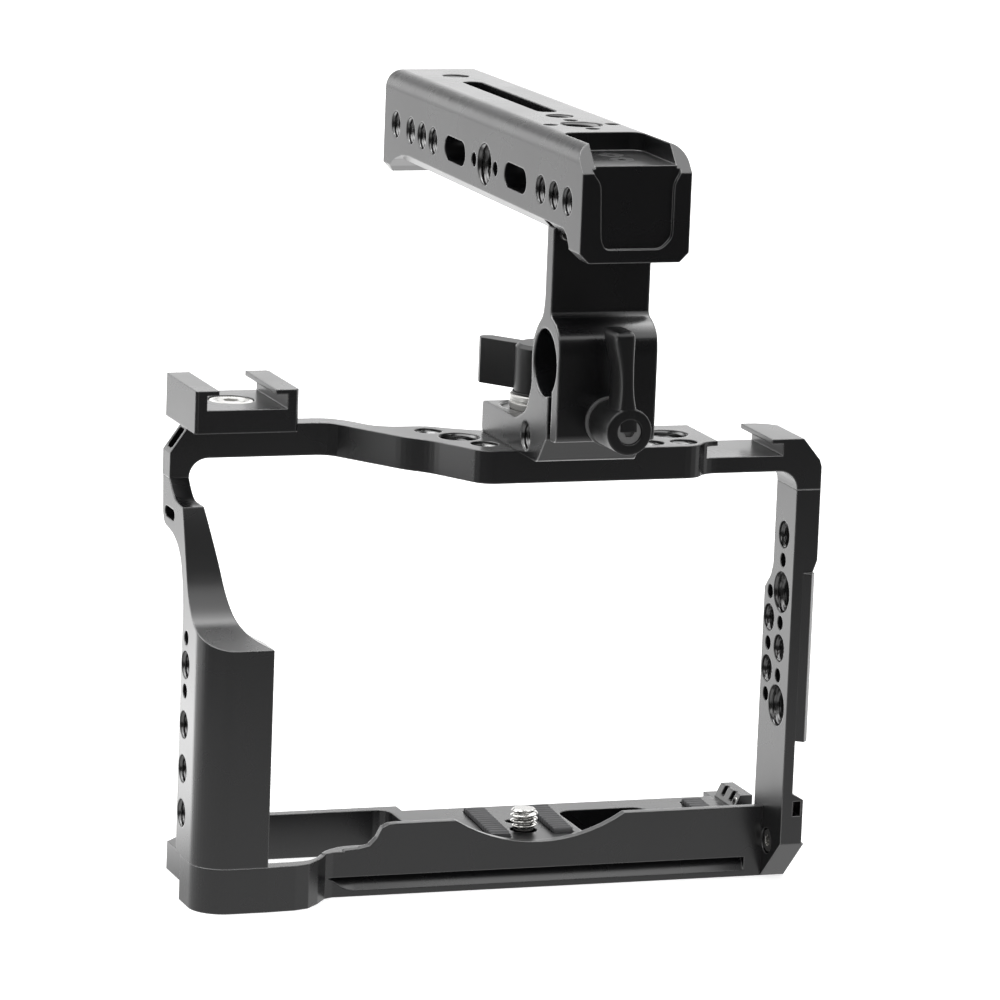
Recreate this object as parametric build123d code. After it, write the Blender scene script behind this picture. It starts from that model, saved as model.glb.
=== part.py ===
from build123d import *
import os
from math import cos, sin, radians, atan2, degrees

os.makedirs("parts", exist_ok=True)

# Camera cage with a top handle, in mm.  +Z up, +Y away from the camera's front, +X to the right.
# Heights in this file start at the underside of the base plate.  The parts are written with the
# origin on the axis of the camera screw, at the top of the pads that the camera stands on.

# ---------------------------------------------------------------- standard hardware and fits
QUARTER = 6.35 / 2            # 1/4 in thread, major radius
THREE8 = 9.525 / 2            # 3/8 in thread, major radius
PIN_HOLE = 1.65               # locating-pin hole radius
SHOE_W, SHOE_H = 18.7, 2.7    # accessory shoe: width and height of the cavity
SHOE_LIP = 1.1                # thickness of the lips over the cavity
RUN = 0.06                    # running fit of turning studs, per side
SOFT = 0.3                    # room around soft pads
COUNTER = 0.25                # room round a screw head in its counterbore

# ---------------------------------------------------------------- base plate
FLOOR = 10.5                  # floor the camera stands on
BASE_FRONT, BASE_REAR = -11.8, 26.2        # 38 mm across: the width of the dovetail clamp
FLOOR_REAR = 21.8             # where the floor starts to fall to the rear edge
LIP_TOP, LIP_T = 16.5, 2.0    # front lip
LENS_R, LENS_CHORD, LENS_X = 38.0, 40.6, -0.1      # scallop of the lip under the lens
LIP_END = ((-43.2, 11.1), (-40.9, 11.6), (-39.1, 13.4), (-37.9, 15.7), (-36.3, 16.4), (-34.5, LIP_TOP))
RIM = 10.3                    # top of the rim the grip stands on
GRIP_EDGE_X = -52.0           # right end of the lowered rim
BULGE = ((-61.0, -20.9), (-57.6, -19.8), (-54.4, -16.6), (-51.5, -12.7), (-49.5, BASE_FRONT))
OPEN_R, OPEN_FRONT = -25.2, -6.6           # battery opening: right end and front wall
RAIL_IN = 23.4                # front of the rear rail
LEFT_TAB, TAB_X = 6.4, -79.1   # height and left end of the base's rear left tab
GROOVE_Z0, GROOVE_Z1, GROOVE_D = 1.4, 4.6, 2.7     # dovetail groove: lip, ceiling, depth
GROOVE_X0, GROOVE_X1, CUTTER_R = -44.0, 50.0, 9.0
POCKET = (13.0, 35.0, -8.0, 15.1, 7.4)             # x0, x1, y0, y1, depth
PAD_T, PAD_W, PAD_SEAT = 1.6, 4.8, 0.4             # rubber pads and how deep they sit
PADS = {"pad_left": (-6.7, -5.9, 18.4), "pad_middle": (8.9, -4.4, 17.8), "pad_right": (46.8, -5.9, 17.6)}
PAD_TURN = -4.0               # the pads lie slightly askew
REST = FLOOR - PAD_SEAT + PAD_T                    # top of the pads, where the camera rests
RELIEF = (0.2, 7.6, 2.0)      # small hole behind the screw: x, y, radius
TRIPOD_38, TRIPOD_14, TRIPOD_DEPTH = (-16.0, 8.0), (39.9, 4.0), 7.5

# ---------------------------------------------------------------- camera screw
SCREW_TOP = FLOOR + 5.1
SCREW_HEAD_R, SCREW_HEAD_H, SCREW_SEAT = 7.0, 4.2, 4.7
NECK_R = 2.3                  # thin neck that lets the screw float in the floor
THREAD_FROM = FLOOR + 0.5

# ---------------------------------------------------------------- right side plate
WALL_X = 54.2                 # inner face
WALL_T = 2.5                  # thin lower part
WALL_TOP_T = 5.8              # thick upper part
WALL_FRONT, WALL_REAR, WALL_NECK = -23.15, -6.2, -11.0
RAIL_Z0, RAIL_Z1 = 34.4, 73.6
RAIL_OUT = 59.6               # outer face of the dovetail rail
RAIL_TIP = 1.2                # reach of its V edges
FOOT_OUT, FOOT_TOP = 59.4, 20.5
FOOT_CHAMFER_Z = 10.2
TOP, TOP_T = 104.8, 7.4       # upper face and thickness of the top plate
JOINT_Z = TOP - 11.8          # joint between side plates and top plate
COL_F, COL_R = -16.8, -10.0   # the two columns of holes
WALL_38 = (68.0, 41.5)
WALL_14_F = (81.4, 54.9)
WALL_14_R = (60.7, 48.7)
WALL_PINS = ((COL_F, 75.5), (COL_F, 60.8), (COL_F, 48.5), (COL_R, 66.8), (COL_R, 54.7), (COL_R, 42.7))
FOOT_SCREW, FOOT_SCREW_SEAT = (-14.6, 9.0), 2.2    # small screw in the foot: y, z and depth of its seat
WALL_SCREWS = ((-2.0, 5.6), (14.0, 5.6))           # y, z of the screws into the base plate
WALL_STUDS, WALL_STUD_X = (-20.0, -14.2), 57.3     # studs into the top plate
STUD_L = 9.0
M3, M3_HEAD = 1.5, 2.75

# ---------------------------------------------------------------- left side plate with the grip
LEFT_X = -83.8                # outer face
LEFT_T = 4.5
LEG_STUD_X, LEG_STUD_Y = -81.5, 13.1
GRIP_SCREWS, GRIP_SCREW_X, GRIP_SCREW_SEAT = (-11.8, -5.4), -80.9, 3.2
M25, M25_HEAD = 1.25, 2.1
LEG_Y0, LEG_Y1 = 10.2, 16.0   # upper leg
GRIP_FRONT, GRIP_RIGHT, GRIP_T, GRIP_R = -21.3, -67.7, 3.0, 7.5
GRIP_TOP = 59.9               # shelf over the grip
NECK_Y, NECK_Z = -0.9, JOINT_Z - 4.4               # front and top of the neck above it
STRIP_Y1 = -3.0               # rear edge of the strip with the side holes
# the rear outline from the joint down, and the front one from the neck's shelf up to the joint: y, z
REAR_EDGE = ((-2.8, 17.7), (STRIP_Y1, 45.0), (-3.3, 65.8), (-2.6, 71.0), (-0.6, JOINT_Z - 16.4),
             (2.2, JOINT_Z - 13.5), (6.4, JOINT_Z - 11.7), (13.4, JOINT_Z - 10.8), (14.8, JOINT_Z - 8.6))
NECK_EDGE = ((8.1, JOINT_Z - 2.2), (5.5, JOINT_Z - 4.0), (0.7, NECK_Z))
# how the ramp over the grip climbs: share of the way to the neck, share of the height
RAMP_SIDE = ((0.147, 0.049), (0.309, 0.105), (0.456, 0.160), (0.588, 0.240), (0.691, 0.348), (0.789, 0.526),
             (0.892, 0.760))
RAMP_END = ((0.216, 0.038), (0.405, 0.087), (0.534, 0.157), (0.612, 0.254), (0.672, 0.366), (0.741, 0.526),
            (0.862, 0.760))
STRIP_Y = -6.6
STRIP_14 = (54.0, 40.3, 30.2, 20.0)
STRIP_PINS = (60.1, 48.0)
STRAP = (5.3, 13.2, JOINT_Z - 9.0, JOINT_Z - 6.4)  # strap slot: y0, y1, z0, z1

# ---------------------------------------------------------------- top plate
MID_FRONT, MID_REAR = -27.9, -3.5
TOP_REAR = ((WALL_X + WALL_TOP_T, WALL_NECK), (52.5, MID_REAR), (-15.5, MID_REAR), (-22.4, 0.5), (-26.0, 3.4),
            (-34.0, 3.6), (-38.2, 5.6), (-41.6, 12.0), (-46.0, LEG_Y1), (-60.0, LEG_Y1),
            (-63.0, LEG_Y1 + 3.6), (-75.0, LEG_Y1 + 3.6), (-78.0, LEG_Y1), (LEFT_X, LEG_Y1))
TOP_FRONT = ((LEFT_X, LEG_Y0), (-47.0, LEG_Y0), (-34.8, -9.4), (-30.6, -13.4), (-22.5, MID_FRONT),
             (28.0, MID_FRONT), (31.5, WALL_FRONT), (WALL_X + WALL_TOP_T, WALL_FRONT))
CORNER = TOP - TOP_T - JOINT_Z              # inner fillets of the corners
SHOE_X0 = 31.7                # left wall of the right shoe's cavity
SHOE_GAP = 13.2
TOP_14 = ((-27.4, -2.5), (-19.6, -19.1), (26.3, -22.9), (18.4, -22.9))
TOP_38 = ((-22.6, -10.3), (26.0, -13.3))

# ---------------------------------------------------------------- left shoe
LSHOE = (-81.1, 24.0, 0.2, 24.2, 9.7)              # x0, width, y0, depth, height
LSHOE_DEEP = 4.4              # top of the shoe to the floor of its cavity
LSHOE_SCREW_X, LSHOE_SCREW_Y, LSHOE_SCREW_R = -69.1, 13.1, 2.0
SHOE_HEAD_R, SHOE_HEAD_H = 5.1, 2.4

# ---------------------------------------------------------------- handle mount and rod clamp
XC = -3.8                     # centre of the mount and the handle
MOUNT_W = 22.8
MOUNT_REAR, MOUNT_TOP, MOUNT_BOTTOM = -4.0, TOP + 7.2, TOP + 6.4
MOUNT_PINS, MOUNT_PIN_Y, PIN_R = (XC - 7, XC + 7), -21.5, 1.5
ROD_R, ROD_FIT, RING_T = 7.5, 0.05, 1.1            # 15 mm rod
ROD_Y, ROD_Z = -44.4, TOP + 22.8
JAW_FRONT, JAW_BACK = -53.1, -49.5
SLIT_BACK = -47.0
STEM_Y0, STEM_Y1 = -46.6, -42.8
STEM_TOP, STEM_C = TOP + 54.2, 1.6                 # top of the stem's full width and its corner chamfers
SPINDLE_Y = -13.0
SPINDLE_HOLE, SPINDLE_END = 3.45, TOP - 5.8
RECESS_R, RECESS_D = 9.9, 0.6
DISC_R, DISC_T = 7.8, 3.4
WASHER_R, WASHER_T = 7.2, 0.5
CORE_R = 2.5                  # core that the flag is pressed on
BOSS_R, BOSS_H = 6.9, 10.9
BOSS_Z = MOUNT_TOP - RECESS_D + DISC_T + WASHER_T
FLAG_OUT, FLAG_T = 18.0, 4.4  # reach of the flag and its thickness
FLAG_ANGLE = 125.0
SIDE_TAP = (-33.6, TOP + 4.5)     # 1/4 in hole in the mount's left face: y, z

# ---------------------------------------------------------------- clamp lever
LEVER_X, LEVER_Z = -3.0, TOP + 11.1
HUB_R, HUB_FRONT, ARM_L, ARM_D = 5.15, -66.2, 21.8, 9.6
ARM = ((-2.5, 4.0), (-2.2, 10.0), (-2.9, 15.5), (-3.9, 20.0), (-3.5, 21.8), (0.4, 21.8), (1.0, 20.0), (0.8, 15.5),
       (0.9, 10.0), (1.9, 4.0))            # outline of the arm from the hub's axis: x, z
COLLAR_R, COLLAR_T = 5.6, 0.8
HUB_REAR = JAW_FRONT - COLLAR_T - 0.1
STUD_R, STUD_REAR = 2.0, -41.0
HEAD_R, HEAD_H = 2.7, 1.5
LIFT = 2.5                    # how far the lever pulls out to turn free of its teeth

# ---------------------------------------------------------------- top handle
HANDLE_W = 25.0
HANDLE_FRONT, HANDLE_REAR = -66.5, 70.0
HANDLE_BOTTOM, HANDLE_H = TOP + 48.2, 25.3
HANDLE_TOP = HANDLE_BOTTOM + HANDLE_H
HANDLE_FALL = 1.4             # how much lower its rear end is
HANDLE_R, HANDLE_C = 4.0, 2.1  # rounding of the upper edges, chamfer of the lower ones
HANDLE_WALL, ROOF = 6.0, 7.1
HANDLE_CEILING = HANDLE_TOP - ROOF
SKIRT = HANDLE_BOTTOM + 4.0   # lower face of the walls between the two ends
STEM_POCKET = -40.0           # rear end of the wider pocket that takes the stem's tongue
END_T = 6.3                   # thickness of the front and rear end blocks
SIDE_Z = HANDLE_BOTTOM + 12.15             # height of the row of side holes
SIDE_14 = (61.4, 50.5, 42.3, 34.2, -40.1, -48.7, -57.5)
SIDE_SLOTS = ((11.1, 25.8), (-30.7, -15.8))
SIDE_38 = -2.3
SIDE_PINS = (5.1, -9.6)
SLOT_H = 5.7
TOP_SLOT = (-9.2, 46.1, 4.8)
TOP_QUARTERS = (56.3, -15.7)
ARRI_Y, ARRI_PITCH = -30.2, 7.2
NOTCH_Y, NOTCH_W, NOTCH_D = -43.0, 18.6, 4.3       # open recess at the front of the top
FACE = ((-6.7, 2.9), (6.1, 2.9), (8.6, 5.4), (8.6, 17.0), (10.1, 19.6), (10.1, 27.0), (-10.1, 27.0), (-10.1, 19.6),
        (-8.2, 17.2), (-7.7, 5.0))         # front pocket from the middle of the lower edge: x, z
FACE_D, BEVEL = 0.9, 5.9      # depth of that pocket, bevel on the ends of the upper side walls
TONGUE_W = 18.4
TONGUE_T, TONGUE_FRONT, THROAT = 2.6, -59.6, 6.0
HANDLE_SCREWS = (-49.5, -56.5)
STEM_PIN, STEM_PIN_R = (-12.2, STEM_TOP - 2.8), 1.2                # x, z

# ---------------------------------------------------------------- small block on the foot
BLOCK = (55.2, 59.8, 9.0, 21.6, 3.2)               # x0, x1, y0, y1, height
BLOCK_PIN, BLOCK_PIN_R = (10.6, 11.9), 0.95        # y, z


def box(x0, x1, y0, y1, z0, z1):
    return Pos((x0 + x1) / 2, (y0 + y1) / 2, (z0 + z1) / 2) * Box(x1 - x0, y1 - y0, z1 - z0)


def rod(axis, centre, r, start, end):
    """Cylinder along axis X, Y or Z; centre holds the other two coordinates."""
    mid, length = (start + end) / 2, abs(end - start)
    if axis == "Z":
        return Pos(centre[0], centre[1], mid) * Cylinder(r, length)
    if axis == "X":
        return Pos(mid, centre[0], centre[1]) * Rot(0, 90, 0) * Cylinder(r, length)
    return Pos(centre[0], mid, centre[1]) * Rot(90, 0, 0) * Cylinder(r, length)


def slab(points, z0, z1):
    """Extrude a closed plan outline from z0 to z1."""
    return Pos(0, 0, z0) * extrude(make_face(Polyline(*points, close=True)), z1 - z0)


def outline(points, curve):
    """Face straight through the points, then back to the first one along a spline through curve."""
    if not curve:
        return make_face(Polyline(*points, close=True))
    return make_face(Polyline(*points) + Spline(points[-1], *curve, points[0]))


def side_slab(points, x0, x1, curve=()):
    """Extrude a closed (y, z) outline from x0 to x1."""
    return Pos(x0, 0, 0) * extrude(Plane.YZ * outline(points, curve), x1 - x0)


def front_slab(points, y0, y1, curve=()):
    """Extrude a closed (x, z) outline from y0 to y1."""
    return Pos(0, y0, 0) * extrude(Plane.XZ * outline(points, curve), -(y1 - y0))


def arc(cx, cy, r, a0, a1, n=8):
    """Points of an arc, for outlines."""
    return [(cx + r * cos(radians(a0 + (a1 - a0) * i / n)),
             cy + r * sin(radians(a0 + (a1 - a0) * i / n))) for i in range(n + 1)]


def softened(points, r, sharp=(), n=4):
    """Round the corners of a closed outline with a quadratic blend of reach r, save the sharp ones."""
    out = []
    for i, p in enumerate(points):
        if i in sharp:
            out.append(p)
            continue
        a, b = points[i - 1], points[(i + 1) % len(points)]
        la = ((a[0] - p[0]) ** 2 + (a[1] - p[1]) ** 2) ** 0.5
        lb = ((b[0] - p[0]) ** 2 + (b[1] - p[1]) ** 2) ** 0.5
        ra, rb = min(r, la * 0.45), min(r, lb * 0.45)
        s = (p[0] + (a[0] - p[0]) * ra / la, p[1] + (a[1] - p[1]) * ra / la)
        e = (p[0] + (b[0] - p[0]) * rb / lb, p[1] + (b[1] - p[1]) * rb / lb)
        for k in range(n + 1):
            t = k / n
            out.append(((1 - t) ** 2 * s[0] + 2 * t * (1 - t) * p[0] + t * t * e[0],
                        (1 - t) ** 2 * s[1] + 2 * t * (1 - t) * p[1] + t * t * e[1]))
    return out


def rounded_box(x0, x1, y0, y1, z0, z1, r):
    """Box whose four upright edges are rounded."""
    return fillet(box(x0, x1, y0, y1, z0, z1).edges().filter_by(Axis.Z), r)


def flat_screw(place, head_r, shank_r, length):
    """Screw pointing down from z 0: countersunk head with a hexagon socket, then the shank."""
    head_h = head_r - shank_r
    head = Pos(0, 0, -head_h / 2) * Cone(shank_r, head_r, head_h)
    shank = Pos(0, 0, -length / 2) * Cylinder(shank_r, length)
    socket = Pos(0, 0, -head_h) * extrude(RegularPolygon(shank_r * 0.7, 6), head_h * 2)
    return place * (head + shank - socket)


def cap_screw(place, head_r, head_h, shank_r, length):
    """Screw pointing down from z 0, its cylindrical head above z 0 with a hexagon socket."""
    head = chamfer(Cylinder(head_r, head_h).edges().group_by(Axis.Z)[-1], 0.2)
    head = Pos(0, 0, head_h / 2) * head
    shank = Pos(0, 0, -length / 2) * Cylinder(shank_r, length)
    socket = Pos(0, 0, head_h * 0.45) * extrude(RegularPolygon(head_r * 0.5, 6), head_h)
    return place * (head + shank - socket)


# ---------------------------------------------------------------- base
def grip_curve(x0=LEFT_X, inset=0.0):
    """Plan of the grip's wall, from the side strip round to its right end."""
    y0, r = GRIP_FRONT + inset, GRIP_R - inset
    return [*arc(x0 + r, y0 + r, r, 180, 270, 14), (GRIP_RIGHT, y0)]


def make_base_plate():
    plan = [(WALL_X, BASE_FRONT), (WALL_X, BASE_REAR), (TAB_X + 5.6, BASE_REAR), (TAB_X, BASE_REAR - 6),
            (TAB_X, STRIP_Y1), (LEFT_X, STRIP_Y1 - 3.4), *grip_curve(), *BULGE]
    body = slab(plan, 0, FLOOR)
    body -= slab([(LEFT_X - 1, GRIP_FRONT - 1), (GRIP_EDGE_X, GRIP_FRONT - 1), (GRIP_EDGE_X, BASE_FRONT - 0.01),
                  (TAB_X + 8, STRIP_Y1), (LEFT_X - 1, STRIP_Y1)], RIM, FLOOR + 1)
    body -= box(LEFT_X - 1, TAB_X + 8, STRIP_Y1, BASE_REAR + 1, LEFT_TAB, FLOOR + 1)
    # the floor falls away behind the camera, to the rear dovetail
    body -= side_slab([(FLOOR_REAR, FLOOR), (BASE_REAR + 0.1, FLOOR - 1.3), (BASE_REAR + 0.1, FLOOR + 1),
                       (FLOOR_REAR, FLOOR + 1)], OPEN_R + 3, WALL_X + 1)
    # battery opening
    body -= slab(softened([(OPEN_R, RAIL_IN), (OPEN_R, OPEN_FRONT), (-45.5, OPEN_FRONT), (-50.5, -9.4),
                           (-55.8, -16.6), (-61, -17.4), (-75.6, -17.4), (-75.6, -5), (-72.5, RAIL_IN)], 3.5),
                 -1, FLOOR + 1)
    # front lip with the scallop under the lens
    half = LENS_CHORD / 2
    drop = (LENS_R ** 2 - half ** 2) ** 0.5
    scoop = arc(LENS_X, LIP_TOP + drop, LENS_R, degrees(atan2(-drop, -half)), degrees(atan2(-drop, half)), 14)
    lip = [(-46.8, FLOOR), (-46.8, 10.8), *LIP_END, *scoop, (WALL_X, LIP_TOP), (WALL_X, FLOOR)]
    body += front_slab([(-46.8, FLOOR - 2), *lip[1:-1], (WALL_X, FLOOR - 2)], BASE_FRONT, BASE_FRONT + LIP_T)
    # dovetail grooves, front and rear
    for edge, inward, x0 in ((BASE_FRONT, 1, GROOVE_X0), (BASE_REAR, -1, OPEN_R + 12)):
        body -= side_slab([(edge - inward, GROOVE_Z0), (edge, GROOVE_Z0), (edge + inward * GROOVE_D, GROOVE_Z1),
                           (edge - inward, GROOVE_Z1)], x0, GROOVE_X1)
        body -= Pos(x0, edge + inward * (GROOVE_D - CUTTER_R), (GROOVE_Z0 + GROOVE_Z1) / 2) * Cone(
            CUTTER_R - GROOVE_D, CUTTER_R, GROOVE_Z1 - GROOVE_Z0)
    # pocket in the floor, pad seats, small relief hole
    x0, x1, y0, y1, depth = POCKET
    body -= rounded_box(x0, x1, y0, y1, FLOOR - depth, FLOOR + 1, 4.0)
    for x, y0, y1 in PADS.values():
        seat = Box(PAD_W + 2 * SOFT, y1 - y0 + 2 * SOFT, 2 * PAD_SEAT)
        body -= Pos(x, (y0 + y1) / 2, FLOOR) * Rot(0, 0, PAD_TURN) * seat
    body -= rod("Z", RELIEF[:2], RELIEF[2], FLOOR - 5, FLOOR + 1)
    # camera screw
    body -= rod("Z", (0, 0), QUARTER + RUN, -1, FLOOR + 1)
    body -= rod("Z", (0, 0), SCREW_HEAD_R + COUNTER, -1, SCREW_SEAT)
    # tripod threads from below
    body -= rod("Z", TRIPOD_38, THREE8, -1, TRIPOD_DEPTH)
    body -= rod("Z", TRIPOD_14, QUARTER, -1, TRIPOD_DEPTH)
    # screws into the side plates
    for y, z in WALL_SCREWS:
        body -= rod("X", (y, z), M3, WALL_X - 8, WALL_X + 1)
    for y in GRIP_SCREWS:
        body -= rod("Z", (GRIP_SCREW_X, y), M25 + 0.15, -1, FLOOR + 1)
        body -= rod("Z", (GRIP_SCREW_X, y), M25_HEAD + COUNTER, -1, GRIP_SCREW_SEAT)
    return body


def make_pad(x, y0, y1):
    length = y1 - y0
    pad = chamfer(Box(PAD_W, length, PAD_T).edges().group_by(Axis.Z)[-1], 0.3)
    for i in range(1, int(length / 2.4)):
        pad -= Pos(0, -length / 2 + 2.4 * i, PAD_T / 2) * Box(PAD_W + 1, 0.6, 0.8)
    return Pos(x, (y0 + y1) / 2, FLOOR - PAD_SEAT + PAD_T / 2) * Rot(0, 0, PAD_TURN) * pad


def make_camera_screw():
    z0 = SCREW_SEAT - SCREW_HEAD_H
    head = chamfer(Cylinder(SCREW_HEAD_R, SCREW_HEAD_H).edges().group_by(Axis.Z)[0], 0.4)
    screw = Pos(0, 0, z0 + SCREW_HEAD_H / 2) * head
    screw -= Pos(0, 0, z0) * Box(2 * SCREW_HEAD_R + 1, 1.6, 2 * 2.2)
    screw += rod("Z", (0, 0), NECK_R, SCREW_SEAT, THREAD_FROM)
    thread = rod("Z", (0, 0), QUARTER, THREAD_FROM, SCREW_TOP)
    return screw + chamfer(thread.edges().group_by(Axis.Z)[-1], 0.5)


# ---------------------------------------------------------------- right side
def make_side_plate_right():
    thin, out = WALL_X + WALL_T, WALL_X + WALL_TOP_T
    upper = [(WALL_FRONT, FOOT_CHAMFER_Z), (WALL_FRONT, JOINT_Z), (WALL_NECK, JOINT_Z), (WALL_NECK, 73.5),
             (-9.8, 70.6), (WALL_REAR, 67.0), (WALL_REAR, FLOOR)]
    foot = [(WALL_REAR, FLOOR), (BASE_REAR, FLOOR), (BASE_REAR, 0), (BASE_FRONT, 0), (WALL_FRONT, FOOT_CHAMFER_Z)]
    body = side_slab(softened(upper[:-1], 0.6) + [(WALL_REAR, FLOOR - 1), (BASE_FRONT, FLOOR - 1)], WALL_X, thin)
    body += side_slab(foot, WALL_X, out)
    # the foot stands out under the plate, its top falling away outwards
    body += front_slab([(WALL_X, FLOOR - 2), (WALL_X, FOOT_TOP + 1.5), (thin, FOOT_TOP + 1.5), (FOOT_OUT, FOOT_TOP),
                        (FOOT_OUT, FLOOR - 2)], WALL_FRONT, WALL_REAR)
    body -= side_slab([(WALL_FRONT - 1, FOOT_CHAMFER_Z + 0.9), (BASE_FRONT + 1, -0.9), (WALL_FRONT - 1, -0.9)],
                      WALL_X - 1, out + 1)
    body -= box(thin + 0.2, FOOT_OUT - 0.6, WALL_FRONT - 1, WALL_FRONT + 4, 16.7, 20.2)
    # thick upper end
    body += front_slab([(WALL_X, 71.5), (thin, 71.5), (58.7, 72.9), (out, 76.6), (out, JOINT_Z), (WALL_X, JOINT_Z)],
                       WALL_FRONT, WALL_NECK)
    # accessory rail with V edges
    mid = (thin + RAIL_OUT) / 2 + 0.2
    rail = slab([(thin, WALL_FRONT), (mid, WALL_FRONT - RAIL_TIP), (RAIL_OUT, WALL_FRONT + 0.3),
                 (RAIL_OUT, WALL_REAR - 0.3), (mid, WALL_REAR + RAIL_TIP), (thin, WALL_REAR)], RAIL_Z0, RAIL_Z1)
    body += rail - side_slab([(WALL_NECK, RAIL_Z1 + 2), (0, RAIL_Z1 + 2), (0, 63.5)], WALL_X, RAIL_OUT + 1)
    for z in WALL_38:
        body -= rod("X", (COL_F, z), THREE8, WALL_X - 1, out + 1)
    for y, zs in ((COL_F, WALL_14_F), (COL_R, WALL_14_R)):
        for z in zs:
            body -= rod("X", (y, z), QUARTER, WALL_X - 1, out + 1)
    for y, z in WALL_PINS:
        body -= rod("X", (y, z), PIN_HOLE, WALL_X - 1, out + 1)
    body -= rod("X", FOOT_SCREW, M3 + 0.2, WALL_X - 1, out + 1)
    body -= rod("X", FOOT_SCREW, M3_HEAD + COUNTER, WALL_X - 1, WALL_X + FOOT_SCREW_SEAT)
    for y, z in WALL_SCREWS:
        body -= rod("X", (y, z), M3 + 0.2, WALL_X - 1, out + 1)
        body -= Pos(out, y, z) * Rot(0, 90, 0) * Pos(0, 0, -(M3_HEAD - M3) / 2) * Cone(
            M3, M3_HEAD + 0.1, M3_HEAD - M3 + 0.1)
    for y in WALL_STUDS:
        body -= rod("Z", (WALL_STUD_X, y), M3, JOINT_Z - STUD_L / 2, JOINT_Z + 1)
    return body


# ---------------------------------------------------------------- left side
def climb(shares, start, end, inset=0.0):
    """Points of the ramp over the grip, from its shelf at start to the neck at end, moved in by inset."""
    return [(start + (end - start) * a + inset, GRIP_TOP + (NECK_Z - GRIP_TOP) * b - inset)
            for a, b in ((0, 0), *shares, (1, 1))]


def make_grip_side_plate():
    inner, inset = LEFT_X + LEFT_T, 0.9 * GRIP_T
    far, low = LEG_Y1 + 1, RIM - 1
    body = slab([(LEFT_X, far), *grip_curve()[:-1], (GRIP_RIGHT + 1, GRIP_FRONT), (GRIP_RIGHT + 1, far)], RIM, JOINT_Z)
    # side outline with the ramp, then the outline of the right end
    slope = climb(RAMP_SIDE, GRIP_FRONT, NECK_Y)
    edge = [slope[0], (GRIP_FRONT - 1, GRIP_TOP), (GRIP_FRONT - 1, low), (STRIP_Y1, low), *REAR_EDGE,
            (LEG_Y1 - 0.5, JOINT_Z), (LEG_Y0, JOINT_Z), *NECK_EDGE, slope[-1]]
    sharp = (0, 1, 2, 3, len(edge) - len(NECK_EDGE) - 3, len(edge) - len(NECK_EDGE) - 2, len(edge) - 1)
    body &= side_slab(softened(edge, 1.6, sharp), LEFT_X - 1, GRIP_RIGHT + 2, slope[-2:0:-1])
    end = climb(RAMP_END, GRIP_RIGHT, inner + 0.4)
    body &= front_slab([end[0], (GRIP_RIGHT, low), (LEFT_X - 1, low), (LEFT_X - 1, JOINT_Z + 1), (inner, JOINT_Z + 1),
                        (inner, NECK_Z), end[-1]], GRIP_FRONT - 1, far + 1, end[-2:0:-1])
    # hollow for the camera's grip, open at the rear and at the right
    hollow = slab([(inner, far + 1), *grip_curve(inner, GRIP_T)[:-1], (GRIP_RIGHT + 2, GRIP_FRONT + GRIP_T),
                   (GRIP_RIGHT + 2, far + 1)], low, NECK_Z)
    under = climb(RAMP_SIDE, GRIP_FRONT, NECK_Y, inset)
    body -= hollow & side_slab([under[0], (under[0][0], low - 1), (far + 2, low - 1), (far + 2, under[-1][1]), under[-1]],
                               inner - 1, GRIP_RIGHT + 3, under[-2:0:-1])
    y0, y1, z0, z1 = STRAP
    body -= Plane.YZ * Pos((y0 + y1) / 2, (z0 + z1) / 2, LEFT_X - 1) * extrude(
        SlotOverall(y1 - y0, z1 - z0), LEFT_T + 2)
    for z in STRIP_14:
        body -= rod("X", (STRIP_Y, z), QUARTER, LEFT_X - 1, LEFT_X + LEFT_T + 1)
    for z in STRIP_PINS:
        body -= rod("X", (STRIP_Y, z), PIN_HOLE, LEFT_X - 1, LEFT_X + LEFT_T + 1)
    for y in GRIP_SCREWS:
        body -= rod("Z", (GRIP_SCREW_X, y), M25, RIM - 1, RIM + 8)
    body -= rod("Z", (LEG_STUD_X, LEG_STUD_Y), M3, JOINT_Z - STUD_L / 2, JOINT_Z + 1)
    return body


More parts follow.
